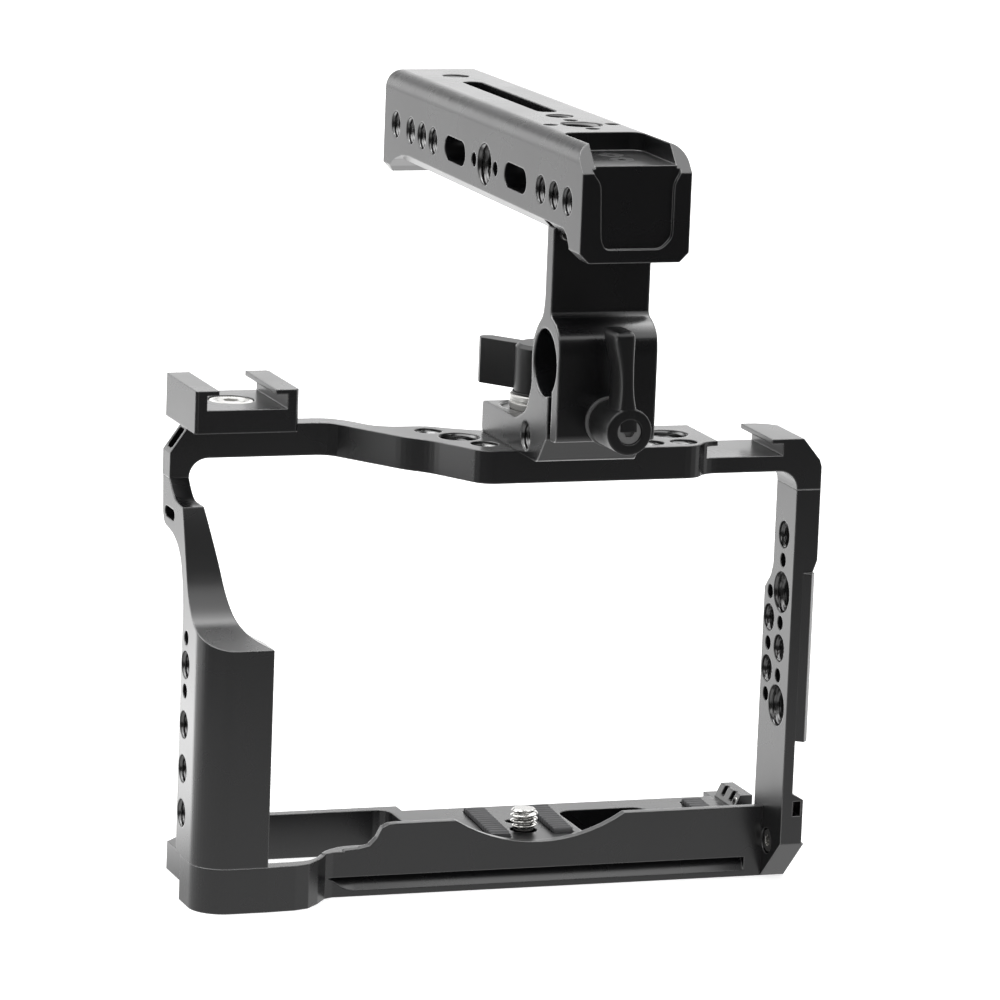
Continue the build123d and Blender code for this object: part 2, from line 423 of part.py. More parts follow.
# ---------------------------------------------------------------- top
def make_top_plate():
    under = TOP - TOP_T
    rear, front = len(TOP_REAR), len(TOP_FRONT)
    plan = softened(TOP_REAR + TOP_FRONT, 3.0, sharp=(0, rear - 1, rear, rear + front - 1))
    body = slab(plan, under, TOP)
    # legs with their inner fillets
    inner = LEFT_X + LEFT_T
    body += front_slab([(LEFT_X, JOINT_Z), (LEFT_X, under + 1), (inner + CORNER, under + 1),
                        *arc(inner + CORNER, JOINT_Z, CORNER, 90, 180)],
                       LEG_Y0, LEG_Y1)
    out = WALL_X + WALL_TOP_T
    body += front_slab([(out, JOINT_Z), (out, under + 1), (WALL_X - CORNER, under + 1),
                        *arc(WALL_X - CORNER, JOINT_Z, CORNER, 90, 0)],
                       WALL_FRONT, WALL_NECK)
    # chamfered outer corners
    body -= front_slab([(LEFT_X - 1, TOP + 1), (LEFT_X + 5, TOP + 1), (LEFT_X + 4.2, TOP),
                        (LEFT_X, TOP - 6), (LEFT_X - 1, TOP - 7.4)], LEG_Y0 - 1, LEG_Y1 + 1)
    body -= front_slab([(out + 1, TOP + 1), (out - 5.4, TOP + 1), (out - 4.6, TOP), (out - 0.5, TOP - 5),
                        (out, TOP - 6.6), (out + 1, TOP - 6.6)], WALL_FRONT - 1, 2)
    # strap pocket in the left chamfer
    turn = degrees(atan2(6.0, 4.2))
    body -= Pos(LEFT_X + 2.1, (LEG_Y0 + LEG_Y1) / 2, TOP - 3) * Rot(0, -turn, 0) * rounded_box(
        -2.6, 2.6, -1.9, 1.9, -3.5, 3.5, 0.8)
    # accessory shoe in the plate's right end
    x1, lip = SHOE_X0 + SHOE_W, TOP - SHOE_LIP
    mid = (SHOE_X0 + x1) / 2
    body -= box(SHOE_X0, x1, WALL_FRONT - 1, 3, lip - SHOE_H, lip)
    body -= box(mid - SHOE_GAP / 2, mid + SHOE_GAP / 2, WALL_FRONT - 1, 3, lip - 1, TOP + 1)
    for xy in TOP_14:
        body -= rod("Z", xy, QUARTER, under - 1, TOP + 1)
    for xy in TOP_38:
        body -= rod("Z", xy, THREE8, under - 1, TOP + 1)
    body -= rod("Z", (XC, SPINDLE_Y), QUARTER + RUN, under - 1, TOP + 1)
    body -= rod("Z", (LSHOE_SCREW_X, LSHOE_SCREW_Y), LSHOE_SCREW_R, under - 1, TOP + 1)
    for x in MOUNT_PINS:
        body -= rod("Z", (x, MOUNT_PIN_Y), PIN_R, TOP - 4, TOP + 1)
    body -= rod("Z", (LEG_STUD_X, LEG_STUD_Y), M3, JOINT_Z - 1, JOINT_Z + STUD_L / 2)
    for y in WALL_STUDS:
        body -= rod("Z", (WALL_STUD_X, y), M3, JOINT_Z - 1, JOINT_Z + STUD_L / 2)
    return body


def make_cold_shoe_left():
    x0, width, y0, depth, height = LSHOE
    mid, top = x0 + width / 2, TOP + height
    lip = top - SHOE_LIP
    body = box(x0, x0 + width, y0, y0 + depth, TOP, top)
    body = chamfer(body.edges().filter_by(Axis.Z), 0.6)
    body -= box(mid - SHOE_W / 2, mid + SHOE_W / 2, y0 - 1, y0 + depth + 1, top - LSHOE_DEEP, lip)
    body -= box(mid - SHOE_GAP / 2, mid + SHOE_GAP / 2, y0 - 1, y0 + depth + 1, lip - 1, top + 1)
    seat = top - LSHOE_DEEP - SHOE_HEAD_H
    body -= rod("Z", (LSHOE_SCREW_X, LSHOE_SCREW_Y), SHOE_HEAD_R + COUNTER, seat, top)
    body -= rod("Z", (LSHOE_SCREW_X, LSHOE_SCREW_Y), LSHOE_SCREW_R + 0.2, TOP - 1, top)
    return body


# ---------------------------------------------------------------- handle mount
def make_mount_body():
    x0, x1 = XC - MOUNT_W / 2, XC + MOUNT_W / 2
    inner, outer = ROD_R + ROD_FIT, ROD_R + ROD_FIT + RING_T
    block = side_slab(softened([(MOUNT_REAR, TOP), (MOUNT_REAR, MOUNT_TOP), (-26.5, MOUNT_TOP), (-33.0, MOUNT_TOP + 2.8),
                                (ROD_Y + outer - 0.5, ROD_Z - 6.6), (ROD_Y + outer, ROD_Z), (ROD_Y + outer - 0.5, ROD_Z + 4.0),
                                (ROD_Y + outer - 2.8, ROD_Z + 7.2), (STEM_Y1 + 0.9, ROD_Z + 10.0),
                                (STEM_Y1, ROD_Z + 14.0), (STEM_Y1, STEM_TOP), (STEM_Y0, STEM_TOP),
                                (STEM_Y0, ROD_Z + 10.6), (STEM_Y0 - 3.4, ROD_Z + 9.4), (JAW_FRONT + 0.6, ROD_Z + 7.2),
                                (JAW_FRONT, ROD_Z + 4.2), (JAW_FRONT, MOUNT_BOTTOM),
                                (SLIT_BACK, MOUNT_BOTTOM), (-41.6, TOP)], 1.4), x0, x1)
    for x, inward in ((x0, 1), (x1, -1)):
        block -= front_slab([(x - inward, STEM_TOP + 1), (x - inward, STEM_TOP - STEM_C - 1),
                             (x + inward * (STEM_C + 1), STEM_TOP + 1)], STEM_Y0 - 1, STEM_Y1 + 1)
    block -= rod("X", (ROD_Y, ROD_Z), inner, x0 - 1, x1 + 1)
    block -= box(x0 - 1, x1 + 1, JAW_BACK, SLIT_BACK, MOUNT_BOTTOM - 1, ROD_Z)
    block -= rod("Z", (XC, SPINDLE_Y), SPINDLE_HOLE, TOP - 1, MOUNT_TOP + 1)
    block -= rod("Z", (XC, SPINDLE_Y), RECESS_R, MOUNT_TOP - RECESS_D, MOUNT_TOP + 4)
    block -= rod("X", SIDE_TAP, QUARTER, x0 - 1, x0 + 7)
    # clamp stud: clear through the jaw, threaded behind the slit
    block -= rod("Y", (LEVER_X, LEVER_Z), STUD_R + RUN, SLIT_BACK - 1, STUD_REAR + 0.5)
    block -= rod("Y", (LEVER_X, LEVER_Z), STUD_R + 0.25, JAW_FRONT - 1, JAW_BACK + 0.5)
    for x in MOUNT_PINS:
        block -= rod("Z", (x, MOUNT_PIN_Y), PIN_R, TOP - 1, TOP + 4)
    # tongue under the handle's roof, with a throat blended into the stem
    tongue = box(XC - TONGUE_W / 2, XC + TONGUE_W / 2, TONGUE_FRONT, STEM_Y1, HANDLE_CEILING - TONGUE_T,
                 HANDLE_CEILING)
    neck = side_slab([(STEM_Y1, STEM_TOP - 4), (STEM_Y1, HANDLE_CEILING), (STEM_Y0 - THROAT, HANDLE_CEILING),
                      *arc(STEM_Y0 - THROAT, HANDLE_CEILING - TONGUE_T - THROAT, THROAT, 90, 0),
                      (STEM_Y0, STEM_TOP - 4)], XC - TONGUE_W / 2, XC + TONGUE_W / 2)
    block += tongue + neck
    block -= rod("Y", STEM_PIN, STEM_PIN_R, STEM_Y0 - 1, STEM_Y1 + 1)
    for y in SIDE_14:
        block -= rod("X", (y, SIDE_Z), QUARTER + 0.25, x0 - 1, x1 + 1)
    for y in HANDLE_SCREWS:
        block -= rod("Z", (XC, y), M3, HANDLE_CEILING - TONGUE_T - 1, HANDLE_CEILING + 1)
    return block


def make_mount_spindle():
    disc = chamfer(Cylinder(DISC_R, DISC_T).edges(), 0.25)
    z0 = MOUNT_TOP - RECESS_D
    spindle = Pos(XC, SPINDLE_Y, z0 + DISC_T / 2) * disc
    spindle += rod("Z", (XC, SPINDLE_Y), QUARTER, SPINDLE_END, z0)
    return spindle + rod("Z", (XC, SPINDLE_Y), CORE_R, z0 + DISC_T, BOSS_Z + BOSS_H - 2)


def make_flag_washer():
    z0 = BOSS_Z - WASHER_T
    ring = rod("Z", (XC, SPINDLE_Y), WASHER_R, z0, BOSS_Z)
    return ring - rod("Z", (XC, SPINDLE_Y), CORE_R, z0 - 1, BOSS_Z + 1)


def make_flag_lever():
    boss = chamfer(Cylinder(BOSS_R, BOSS_H).edges().group_by(Axis.Z)[-1], 0.8)
    flag = [(0, -FLAG_T / 2), (0, FLAG_T / 2), (FLAG_OUT - 1.5, FLAG_T / 2), (FLAG_OUT, FLAG_T / 2 - 1.5),
            (FLAG_OUT, 1.5 - FLAG_T / 2), (FLAG_OUT - 1.5, -FLAG_T / 2)]
    lever = boss + slab(flag, -BOSS_H / 2, BOSS_H / 2 - 0.6)
    lever = Pos(XC, SPINDLE_Y, BOSS_Z + BOSS_H / 2) * Rot(0, 0, FLAG_ANGLE) * lever
    return lever - rod("Z", (XC, SPINDLE_Y), CORE_R, BOSS_Z - 1, BOSS_Z + BOSS_H - 2)


# ---------------------------------------------------------------- clamp lever
def make_clamp_stud():
    """Stud with its toothed collar against the jaw and the head that retains the lever."""
    stud = rod("Y", (LEVER_X, LEVER_Z), STUD_R, STUD_REAR, HUB_FRONT + 1)
    stud += rod("Y", (LEVER_X, LEVER_Z), COLLAR_R, JAW_FRONT - COLLAR_T, JAW_FRONT)
    head = rod("Y", (LEVER_X, LEVER_Z), HEAD_R, HUB_FRONT + 0.4, HUB_FRONT + 0.4 + HEAD_H)
    socket = Pos(LEVER_X, HUB_FRONT + 0.4, LEVER_Z) * Rot(90, 0, 0) * extrude(RegularPolygon(1.3, 6), 1.0, both=True)
    return stud + head - socket


def make_clamp_lever():
    hub = rod("Y", (LEVER_X, LEVER_Z), HUB_R, HUB_FRONT, HUB_REAR)
    hub = chamfer(hub.edges().group_by(Axis.Y)[0], 0.4)
    # blade of the arm: wide at the thumb end, narrow in the middle, its rear edge hollowed
    rear = HUB_FRONT + ARM_D
    blade = front_slab(softened([(LEVER_X, LEVER_Z), *[(LEVER_X + x, LEVER_Z + z) for x, z in ARM[:0:-1]],
                                 (LEVER_X + ARM[0][0], LEVER_Z + ARM[0][1])], 1.0), HUB_FRONT, rear)
    blade &= side_slab(softened([(HUB_FRONT, LEVER_Z - 1), (HUB_FRONT, LEVER_Z + ARM_L - 1.2), (HUB_FRONT + 1.6, LEVER_Z + ARM_L),
                                 (rear, LEVER_Z + ARM_L - 0.8), (rear, LEVER_Z + ARM_L - 5), (rear - 1.4, LEVER_Z + 12),
                                 (rear, LEVER_Z + 4), (rear, LEVER_Z - 1)], 1.2), LEVER_X - 8, LEVER_X + 6)
    lever = hub + blade
    lever -= rod("Y", (LEVER_X, LEVER_Z), HEAD_R + 0.1, HUB_FRONT - 2, HUB_FRONT + 0.4 + HEAD_H + LIFT + 1.0)
    return lever - rod("Y", (LEVER_X, LEVER_Z), STUD_R + RUN, HUB_FRONT - 2, HUB_REAR + 1)


# ---------------------------------------------------------------- top handle
def handle_section(y, height):
    """Section of the handle at y: rounded above, chamfered below."""
    half, c = HANDLE_W / 2, HANDLE_C
    face = make_face(Polyline((-half, c), (c - half, 0), (half - c, 0), (half, c), (half, height), (-half, height),
                              close=True))
    face = fillet(face.vertices().group_by(Axis.Y)[-1], HANDLE_R)
    return Plane.XZ * Pos(XC, HANDLE_BOTTOM, -y) * face


def make_top_handle():
    half = HANDLE_W / 2
    x0, x1, low, c = XC - half - 1, XC + half + 1, HANDLE_BOTTOM - 1, HANDLE_C
    body = loft([handle_section(HANDLE_FRONT, HANDLE_H), handle_section(HANDLE_REAR, HANDLE_H - HANDLE_FALL)], ruled=True)
    # the walls end higher between the two ends, and their outer edges are chamfered
    body -= side_slab([(-60.4, low), (-60.3, HANDLE_BOTTOM), (-59.3, HANDLE_BOTTOM + 2.8), (-58.4, SKIRT), (61.7, SKIRT),
                       (66.4, HANDLE_BOTTOM + 1.6), (69.0, HANDLE_BOTTOM), (69.2, low)], x0, x1)
    raised = side_slab([(-58.6, SKIRT - 1), (-58.4, SKIRT), (-57.8, SKIRT + 0.9), (-55.4, SKIRT + c), (51.0, SKIRT + c),
                        (57.0, SKIRT + 1.4), (61.7, SKIRT), (61.8, SKIRT - 1)], x0, x1)
    for x, inward in ((XC - half, 1), (XC + half, -1)):
        body -= raised & front_slab([(x - inward, SKIRT - 1), (x - inward, SKIRT + c + 1), (x + inward * (c + 1), SKIRT - 1)],
                                    HANDLE_FRONT, HANDLE_REAR)
    # channel underneath, wider in front for the stem's tongue, with a seat for the stem
    inner, mouth = half - HANDLE_WALL, TONGUE_W / 2 + 0.1
    body -= box(XC - inner, XC + inner, STEM_POCKET - 1, HANDLE_REAR - END_T, low, HANDLE_CEILING)
    body -= box(XC - mouth, XC + mouth, HANDLE_FRONT + END_T, STEM_POCKET, low, HANDLE_CEILING)
    body -= box(x0, x1, STEM_Y0 - 0.1, STEM_Y1 + 0.1, low, STEM_TOP)
    # side holes and slots
    for y in SIDE_14:
        body -= rod("X", (y, SIDE_Z), QUARTER, XC - half - 1, XC + half + 1)
    for y in SIDE_PINS:
        body -= rod("X", (y, SIDE_Z), PIN_HOLE, XC - half - 1, XC + half + 1)
    body -= rod("X", (SIDE_38, SIDE_Z), THREE8, XC - half - 1, XC + half + 1)
    for y0, y1 in SIDE_SLOTS:
        body -= Plane.YZ * Pos((y0 + y1) / 2, SIDE_Z, XC - half - 1) * extrude(SlotOverall(y1 - y0, SLOT_H), HANDLE_W + 2)
    # top slot and threads, with the two locating pins of the 3/8 in thread
    y0, y1, width = TOP_SLOT
    body -= Pos(XC, (y0 + y1) / 2, HANDLE_CEILING - 1) * extrude(Rot(0, 0, 90) * SlotOverall(y1 - y0, width), 20)
    for y in TOP_QUARTERS:
        body -= rod("Z", (XC, y), QUARTER, HANDLE_CEILING - 1, HANDLE_TOP + 1)
    body -= rod("Z", (XC, ARRI_Y), THREE8, HANDLE_CEILING - 1, HANDLE_TOP + 1)
    for dx, dy in ((-1, 0), (1, 0), (0, -1), (0, 1)):
        body -= rod("Z", (XC + dx * ARRI_PITCH, ARRI_Y + dy * ARRI_PITCH), PIN_HOLE, HANDLE_TOP - 5, HANDLE_TOP + 1)
    # open recess over the front end, shallow pocket in the front face
    notch = rounded_box(XC - NOTCH_W / 2, XC + NOTCH_W / 2, HANDLE_FRONT - 9, NOTCH_Y, HANDLE_TOP - NOTCH_D,
                        HANDLE_TOP + 1, 3.0)
    body -= notch
    body -= front_slab(softened([(XC + x, HANDLE_BOTTOM + z) for x, z in FACE], 1.2), HANDLE_FRONT - 1, HANDLE_FRONT + FACE_D)
    start = HANDLE_TOP - BEVEL
    for edge, side in ((x0, XC - NOTCH_W / 2), (XC + NOTCH_W / 2, x1)):
        body -= side_slab([(HANDLE_FRONT - 1, start - 1), (HANDLE_FRONT + BEVEL + 1, HANDLE_TOP + 1),
                           (HANDLE_FRONT - 1, HANDLE_TOP + 1)], edge, side)
    for y in HANDLE_SCREWS:
        body -= rod("Z", (XC, y), M3 + 0.2, HANDLE_CEILING - 1, HANDLE_TOP)
        sink = M3_HEAD - M3
        body -= Pos(XC, y, HANDLE_TOP - NOTCH_D - sink / 2 + 0.05) * Cone(M3, M3_HEAD + 0.1, sink + 0.1)
    return body


# ---------------------------------------------------------------- small parts
def make_locating_block():
    x0, x1, y0, y1, height = BLOCK
    body = front_slab([(x0, FLOOR), (x0 + 1.6, FLOOR + height), (x1, FLOOR + height), (x1, FLOOR)], y0, y1)
    for y in (y0 + (y1 - y0) * 0.3, y0 + (y1 - y0) * 0.7):
        body -= box(x0 - 1, x0 + 2.2, y - 1.0, y + 1.0, FLOOR + 1, FLOOR + height + 1)
    return body - rod("X", BLOCK_PIN, BLOCK_PIN_R, x0 - 1, x1 + 1)


def make_parts():
    out = WALL_X + WALL_TOP_T
    seat = TOP + LSHOE[4] - LSHOE_DEEP - SHOE_HEAD_H
    notch_floor = HANDLE_TOP - NOTCH_D
    outward = [Pos(out, y, z) * Rot(0, 90, 0) for y, z in WALL_SCREWS]
    parts = {
        "base_plate": make_base_plate(),
        "camera_screw": make_camera_screw(),
        "side_plate_right": make_side_plate_right(),
        "side_screws": [flat_screw(p, M3_HEAD, M3, WALL_TOP_T + 7.5) for p in outward],
        "foot_screw": cap_screw(Pos(WALL_X + FOOT_SCREW_SEAT, *FOOT_SCREW) * Rot(0, -90, 0), M3_HEAD, 1.9, M3,
                                FOOT_OUT - WALL_X - FOOT_SCREW_SEAT),
        "locating_block": make_locating_block(),
        "block_pin": rod("X", BLOCK_PIN, BLOCK_PIN_R, BLOCK[0] + 1, BLOCK[1]),
        "grip_side_plate": make_grip_side_plate(),
        "grip_screws": [cap_screw(Pos(GRIP_SCREW_X, y, GRIP_SCREW_SEAT) * Rot(180, 0, 0), M25_HEAD, 2.5, M25,
                                  RIM + 6 - GRIP_SCREW_SEAT) for y in GRIP_SCREWS],
        "joint_studs": [rod("Z", xy, M3, JOINT_Z - STUD_L / 2, JOINT_Z + STUD_L / 2)
                        for xy in ((LEG_STUD_X, LEG_STUD_Y), *[(WALL_STUD_X, y) for y in WALL_STUDS])],
        "top_plate": make_top_plate(),
        "cold_shoe_left": make_cold_shoe_left(),
        "cold_shoe_screw": cap_screw(Pos(LSHOE_SCREW_X, LSHOE_SCREW_Y, seat), SHOE_HEAD_R, SHOE_HEAD_H - 0.1, LSHOE_SCREW_R,
                                     seat - TOP + TOP_T - 1),
        "mount_body": make_mount_body(),
        "mount_pins": [rod("Z", (x, MOUNT_PIN_Y), PIN_R, TOP - 4, TOP + 4) for x in MOUNT_PINS],
        "mount_spindle": make_mount_spindle(),
        "flag_washer": make_flag_washer(),
        "flag_lever": make_flag_lever(),
        "clamp_stud": make_clamp_stud(),
        "clamp_lever": make_clamp_lever(),
        "top_handle": make_top_handle(),
        "handle_screws": [flat_screw(Pos(XC, y, notch_floor), M3_HEAD, M3, notch_floor - HANDLE_CEILING + TONGUE_T)
                          for y in HANDLE_SCREWS],
        "stem_pin": rod("Y", STEM_PIN, STEM_PIN_R, STEM_Y0 - 0.4, STEM_Y1 - 0.4),
    }
    for name, (x, y0, y1) in PADS.items():
        parts[name] = make_pad(x, y0, y1)
    return parts


for name, shape in make_parts().items():
    pieces = [Pos(0, 0, -REST) * s for s in (shape if isinstance(shape, list) else [shape])]
    node = pieces[0] if len(pieces) == 1 else Compound(children=pieces)
    node.label = name
    export_step(node, f"parts/{name}.step")
    count = len(node.solids())
    volume = sum(s.volume for s in node.solids())
    print(f"{name:18s} solids {count} volume {volume:10.1f} valid {node.is_valid}")
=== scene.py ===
import math

import bmesh
import bpy
import numpy as np
from bpy.props import FloatProperty, FloatVectorProperty, PointerProperty
from mathutils import Matrix, Vector


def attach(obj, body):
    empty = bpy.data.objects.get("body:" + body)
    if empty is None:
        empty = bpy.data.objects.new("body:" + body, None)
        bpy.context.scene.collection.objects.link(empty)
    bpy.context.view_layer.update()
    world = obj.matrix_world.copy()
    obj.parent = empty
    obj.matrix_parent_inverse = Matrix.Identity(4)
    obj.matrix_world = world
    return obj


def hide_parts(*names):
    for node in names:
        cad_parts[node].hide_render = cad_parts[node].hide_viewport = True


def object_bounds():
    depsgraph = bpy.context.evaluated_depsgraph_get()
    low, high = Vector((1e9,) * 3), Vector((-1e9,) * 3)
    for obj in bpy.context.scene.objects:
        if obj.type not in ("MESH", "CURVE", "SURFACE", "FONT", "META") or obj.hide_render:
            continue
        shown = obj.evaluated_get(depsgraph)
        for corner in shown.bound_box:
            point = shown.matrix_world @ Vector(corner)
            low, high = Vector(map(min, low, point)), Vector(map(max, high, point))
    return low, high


bl_info = {
    "name": "Camera cage",
    "version": (1, 0, 0),
    "blender": (4, 5, 0),
    "location": "View3D > Sidebar > Camera cage",
    "description": "Dresses a camera cage with a top handle: threads, screws, levers, pads and finishes",
    "category": "Object",
}

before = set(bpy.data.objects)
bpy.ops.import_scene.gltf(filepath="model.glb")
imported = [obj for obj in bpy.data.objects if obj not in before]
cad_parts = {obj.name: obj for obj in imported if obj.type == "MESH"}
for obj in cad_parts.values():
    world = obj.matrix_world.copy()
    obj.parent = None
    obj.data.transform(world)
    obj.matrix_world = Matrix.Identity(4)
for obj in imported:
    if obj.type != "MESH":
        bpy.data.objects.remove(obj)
CAD_BOX = [list(corner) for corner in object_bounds()]

MM = 0.001
REST = 11.7                   # the origin above the underside, mm: it is at the top of the pads
XC = -3.8                     # centre of the handle mount and the handle
THREADS = {"quarter": (3.175, 1.27), "three_eighths": (4.7625, 1.5875)}    # major radius and pitch, mm
FULL = 2 * np.pi

# camera screw, mm above the underside
SCREW_HEAD = (0.5, 4.7, 7.0)  # underside, seat, radius
SCREW_SLOT = (0.8, 2.2)       # half width and depth
SCREW_NECK_R, SCREW_THREAD, SCREW_TOP = 2.3, 11.0, 15.6

# pads: name, x, y0, y1
PADS = (("pad_left", -6.7, -5.9, 18.4), ("pad_middle", 8.9, -4.4, 17.8),
        ("pad_right", 46.8, -5.9, 17.6))
PAD_W, PAD_Z0, PAD_Z1, PAD_TURN = 4.8, 10.1, 11.7, -4.0

# screw of the left shoe
SHOE_SCREW = (-69.1, 13.1)
SHOE_HEAD = (107.7, 110.0, 5.1)    # seat, top, radius
SHOE_SHANK = (98.5, 1.95)          # lower end, radius
SHOE_SOCKET = (1.9, 1.2)           # radius over the corners, depth

# thumb screw
SPINDLE = (XC, -13.0)
SPINDLE_ROWS = (              # height, radius
    (99.0, 2.6), (99.5, 3.1), (111.4, 3.1), (111.4, 7.5), (111.6, 7.72), (111.8, 7.78), (113.0, 7.78),
    (113.15, 7.5), (113.35, 7.5), (113.5, 7.78), (114.4, 7.78), (114.65, 7.7), (114.8, 7.5),
    (114.8, 2.45), (124.0, 2.45))
SPINDLE_THREAD = (99.5, 107.0)

# clamp lever: axis, hub and blade
LEVER_X, LEVER_Z = -3.0, 115.9
HUB_R, HUB_BORE, HUB_FRONT, HUB_REAR = 5.15, 2.8, -66.2, -54.0
STUD_BORE, HUB_STEP = 2.06, -60.8
BLADE = (                     # height over the axis, left side, right side
    (0.0, -2.6, 2.3), (3.0, -2.6, 2.1), (5.0, -2.45, 1.75), (7.5, -2.25, 1.15), (10.0, -2.2, 0.9),
    (13.0, -2.45, 0.8), (15.5, -2.9, 0.8), (18.0, -3.5, 0.9), (20.0, -3.9, 1.0), (21.8, -3.9, 0.8))
BLADE_FRONT, BLADE_REAR, BLADE_HOLLOW, BLADE_ROUND = -66.2, -56.6, 1.3, 1.2

# tapped holes: thread, axis, centre (mm above the underside), thread's start and end on the axis
WALL, WALL_TOP = (54.2, 59.6), (54.2, 60.0)        # right side plate, its highest hole
STRIP = (-83.8, -79.3)                             # strip behind the grip
BLOCK = (XC - 11.4, XC - 4.4)                      # left side of the mount
PLATE, FLOOR = (97.4, 104.8), (0.0, 7.5)           # top plate and base plate
HANDLE_Z, HANDLE_OUT, HANDLE_ROOF = 165.15, 12.5, 171.2
THICK, THIN = 6.0, 3.2                             # the handle's side walls at the rear, in front
ACROSS = (                                         # y, z and reach along X
    (-16.8, 81.4, WALL_TOP), (-16.8, 54.9, WALL), (-10.0, 60.7, WALL), (-10.0, 48.7, WALL),
    (-6.6, 54.0, STRIP), (-6.6, 40.3, STRIP), (-6.6, 30.2, STRIP), (-6.6, 20.0, STRIP),
    (-33.6, 109.3, BLOCK))
HANDLE_SIDE = (                                    # y and wall of the pairs in the handle
    (61.4, THICK), (50.5, THICK), (42.3, THICK), (34.2, THICK),
    (-40.1, THIN), (-48.7, THIN), (-57.5, THIN))
PLATE_SMALL = ((-27.4, -2.5), (-19.6, -19.1), (26.3, -22.9), (18.4, -22.9))
PLATE_LARGE = ((-22.6, -10.3), (26.0, -13.3))
MOUTH, LINING = 0.25, 0.12                         # plain mouth of a hole, lining beyond its thread
HOLES = [
    *[("quarter", "X", (0, y, z), *reach) for y, z, reach in ACROSS],
    *[("three_eighths", "X", (0, -16.8, z), *WALL) for z in (68.0, 41.5)],
    *[("quarter", "Z", (x, y, 0), *PLATE) for x, y in PLATE_SMALL],
    *[("three_eighths", "Z", (x, y, 0), *PLATE) for x, y in PLATE_LARGE],
    *[("quarter", "X", (XC, y, HANDLE_Z), side * HANDLE_OUT, side * (HANDLE_OUT - wall))
      for y, wall in HANDLE_SIDE for side in (-1, 1)],
    *[("three_eighths", "X", (XC, -2.3, HANDLE_Z), side * HANDLE_OUT, side * (HANDLE_OUT - THICK))
      for side in (-1, 1)],
    ("quarter", "Z", (XC, 56.3, 0), HANDLE_ROOF, 177.04),
    ("quarter", "Z", (XC, -15.7, 0), HANDLE_ROOF, 177.78),
    ("three_eighths", "Z", (XC, -30.2, 0), HANDLE_ROOF, 177.93),
    ("three_eighths", "Z", (-16.0, 8.0, 0), *FLOOR),
    ("quarter", "Z", (39.9, 4.0, 0), *FLOOR),
]

# finishes: sizes of grain and broken edges in metres
# bare metal on the frame's edges: partly wear, partly a painted edge highlight that keeps the edges bright
# under any light
WORN_METAL_AND_HIGHLIGHT = (0.5, 0.5, 0.5)
FRAME_GRAIN, LEVER_GRAIN, COARSE_GRAIN = 0.0002, 0.0003, 0.0004
FRAME_EDGE, MOUNT_EDGE, LEVER_EDGE, STEEL_EDGE = 0.00045, 0.0007, 0.0003, 0.0002
MOUNT_WEAR_AND_HIGHLIGHT, LEVER_WEAR_AND_HIGHLIGHT = 1.5, 0.1                  # times the frame's wear and painted edge highlight
FRAME_IOR, LEVER_IOR = 1.6, 1.42
LATHE_PITCH = 0.00025
AXIS_TURN = {"Z": (0, 0, 0), "Y": (math.pi / 2, 0, 0)}    # turns Z onto the axis of the turned piece
STUD_GREY = (0.16, 0.16, 0.16)
THREAD_DARK, THREAD_BRIGHT = (0.05, 0.05, 0.05), (0.20, 0.20, 0.20)

# stage, in metres
FLOOR_RADIUS, FLOOR_DROP, FLOOR_WHITE, FLOOR_GLOW = 9.0, 0.00005, 0.86, 0.72
WORLD_FILL = 0.75
LAMPS = (                                          # name, place, size, power in watts
    ("left_softbox", (-1.4, 0.5, 0.9), 0.9, 4.0),
    ("top_softbox", (0.1, 0.3, 1.6), 1.2, 7.0))
LAMP_AIM = (0, 0, 0.05)
LENS, SENSOR, CLIP = 221.8, 36.0, (0.05, 40.0)
CAMERA_PLACE = (-464.6, -1291.2, 360.3)            # mm above the underside
CAMERA_FORWARD, CAMERA_RIGHT = (0.3265, 0.9248, -0.1951), (0.9448, -0.3256, 0.0376)


# ---------------------------------------------------------------- settings
class CageSettings(bpy.types.PropertyGroup):
    black: FloatVectorProperty(
        name="Anodising", description="Colour of the anodised frame", subtype="COLOR", size=3,
        min=0, max=1, default=(0.0042, 0.0042, 0.0048))
    frame_roughness: FloatProperty(
        name="Frame roughness", description="Roughness of the blasted and anodised frame", subtype="FACTOR",
        min=0, max=1, default=0.27)
    satin: FloatVectorProperty(
        name="Levers", description="Colour of the satin black levers", subtype="COLOR", size=3,
        min=0, max=1, default=(0.0048, 0.0048, 0.0052))
    steel: FloatVectorProperty(
        name="Steel", description="Colour of the turned screws", subtype="COLOR", size=3,
        min=0, max=1, default=(0.48, 0.475, 0.46))
    rubber: FloatVectorProperty(
        name="Rubber", description="Colour of the ribbed pads", subtype="COLOR", size=3,
        min=0, max=1, default=(0.05, 0.05, 0.052))
    rib: FloatProperty(
        name="Rib pitch", description="Distance between the ribs of the pads, in mm",
        min=0.5, max=4, default=1.9)
    # how much bare metal shows on the frame's edges: partly wear, partly a painted edge highlight
    wear_and_highlight: FloatProperty(
        name="Worn edges", description="How much bare metal shows on the frame's broken edges",
        subtype="FACTOR", min=0, max=1, default=0.45)
    thread_rows: FloatProperty(
        name="Thread rows", description="Rows of faces on each turn of a thread",
        min=4, max=16, default=8)


class StageSettings(bpy.types.PropertyGroup):
    backdrop: FloatProperty(
        name="Backdrop", description="Brightness of the backdrop in the cage's reflections",
        min=0, max=4, default=2.0)
    overhead: FloatProperty(
        name="Overhead", description="Brightness of the softbox above the cage",
        min=0, max=10, default=3.2)
    dim: FloatProperty(
        name="Dim side", description="Brightness of the room in front of the cage",
        min=0, max=1, default=0.04)
    near: FloatProperty(
        name="Near floor", description="Brightness of the floor round the cage in its reflections",
        min=0, max=2, default=0.9)


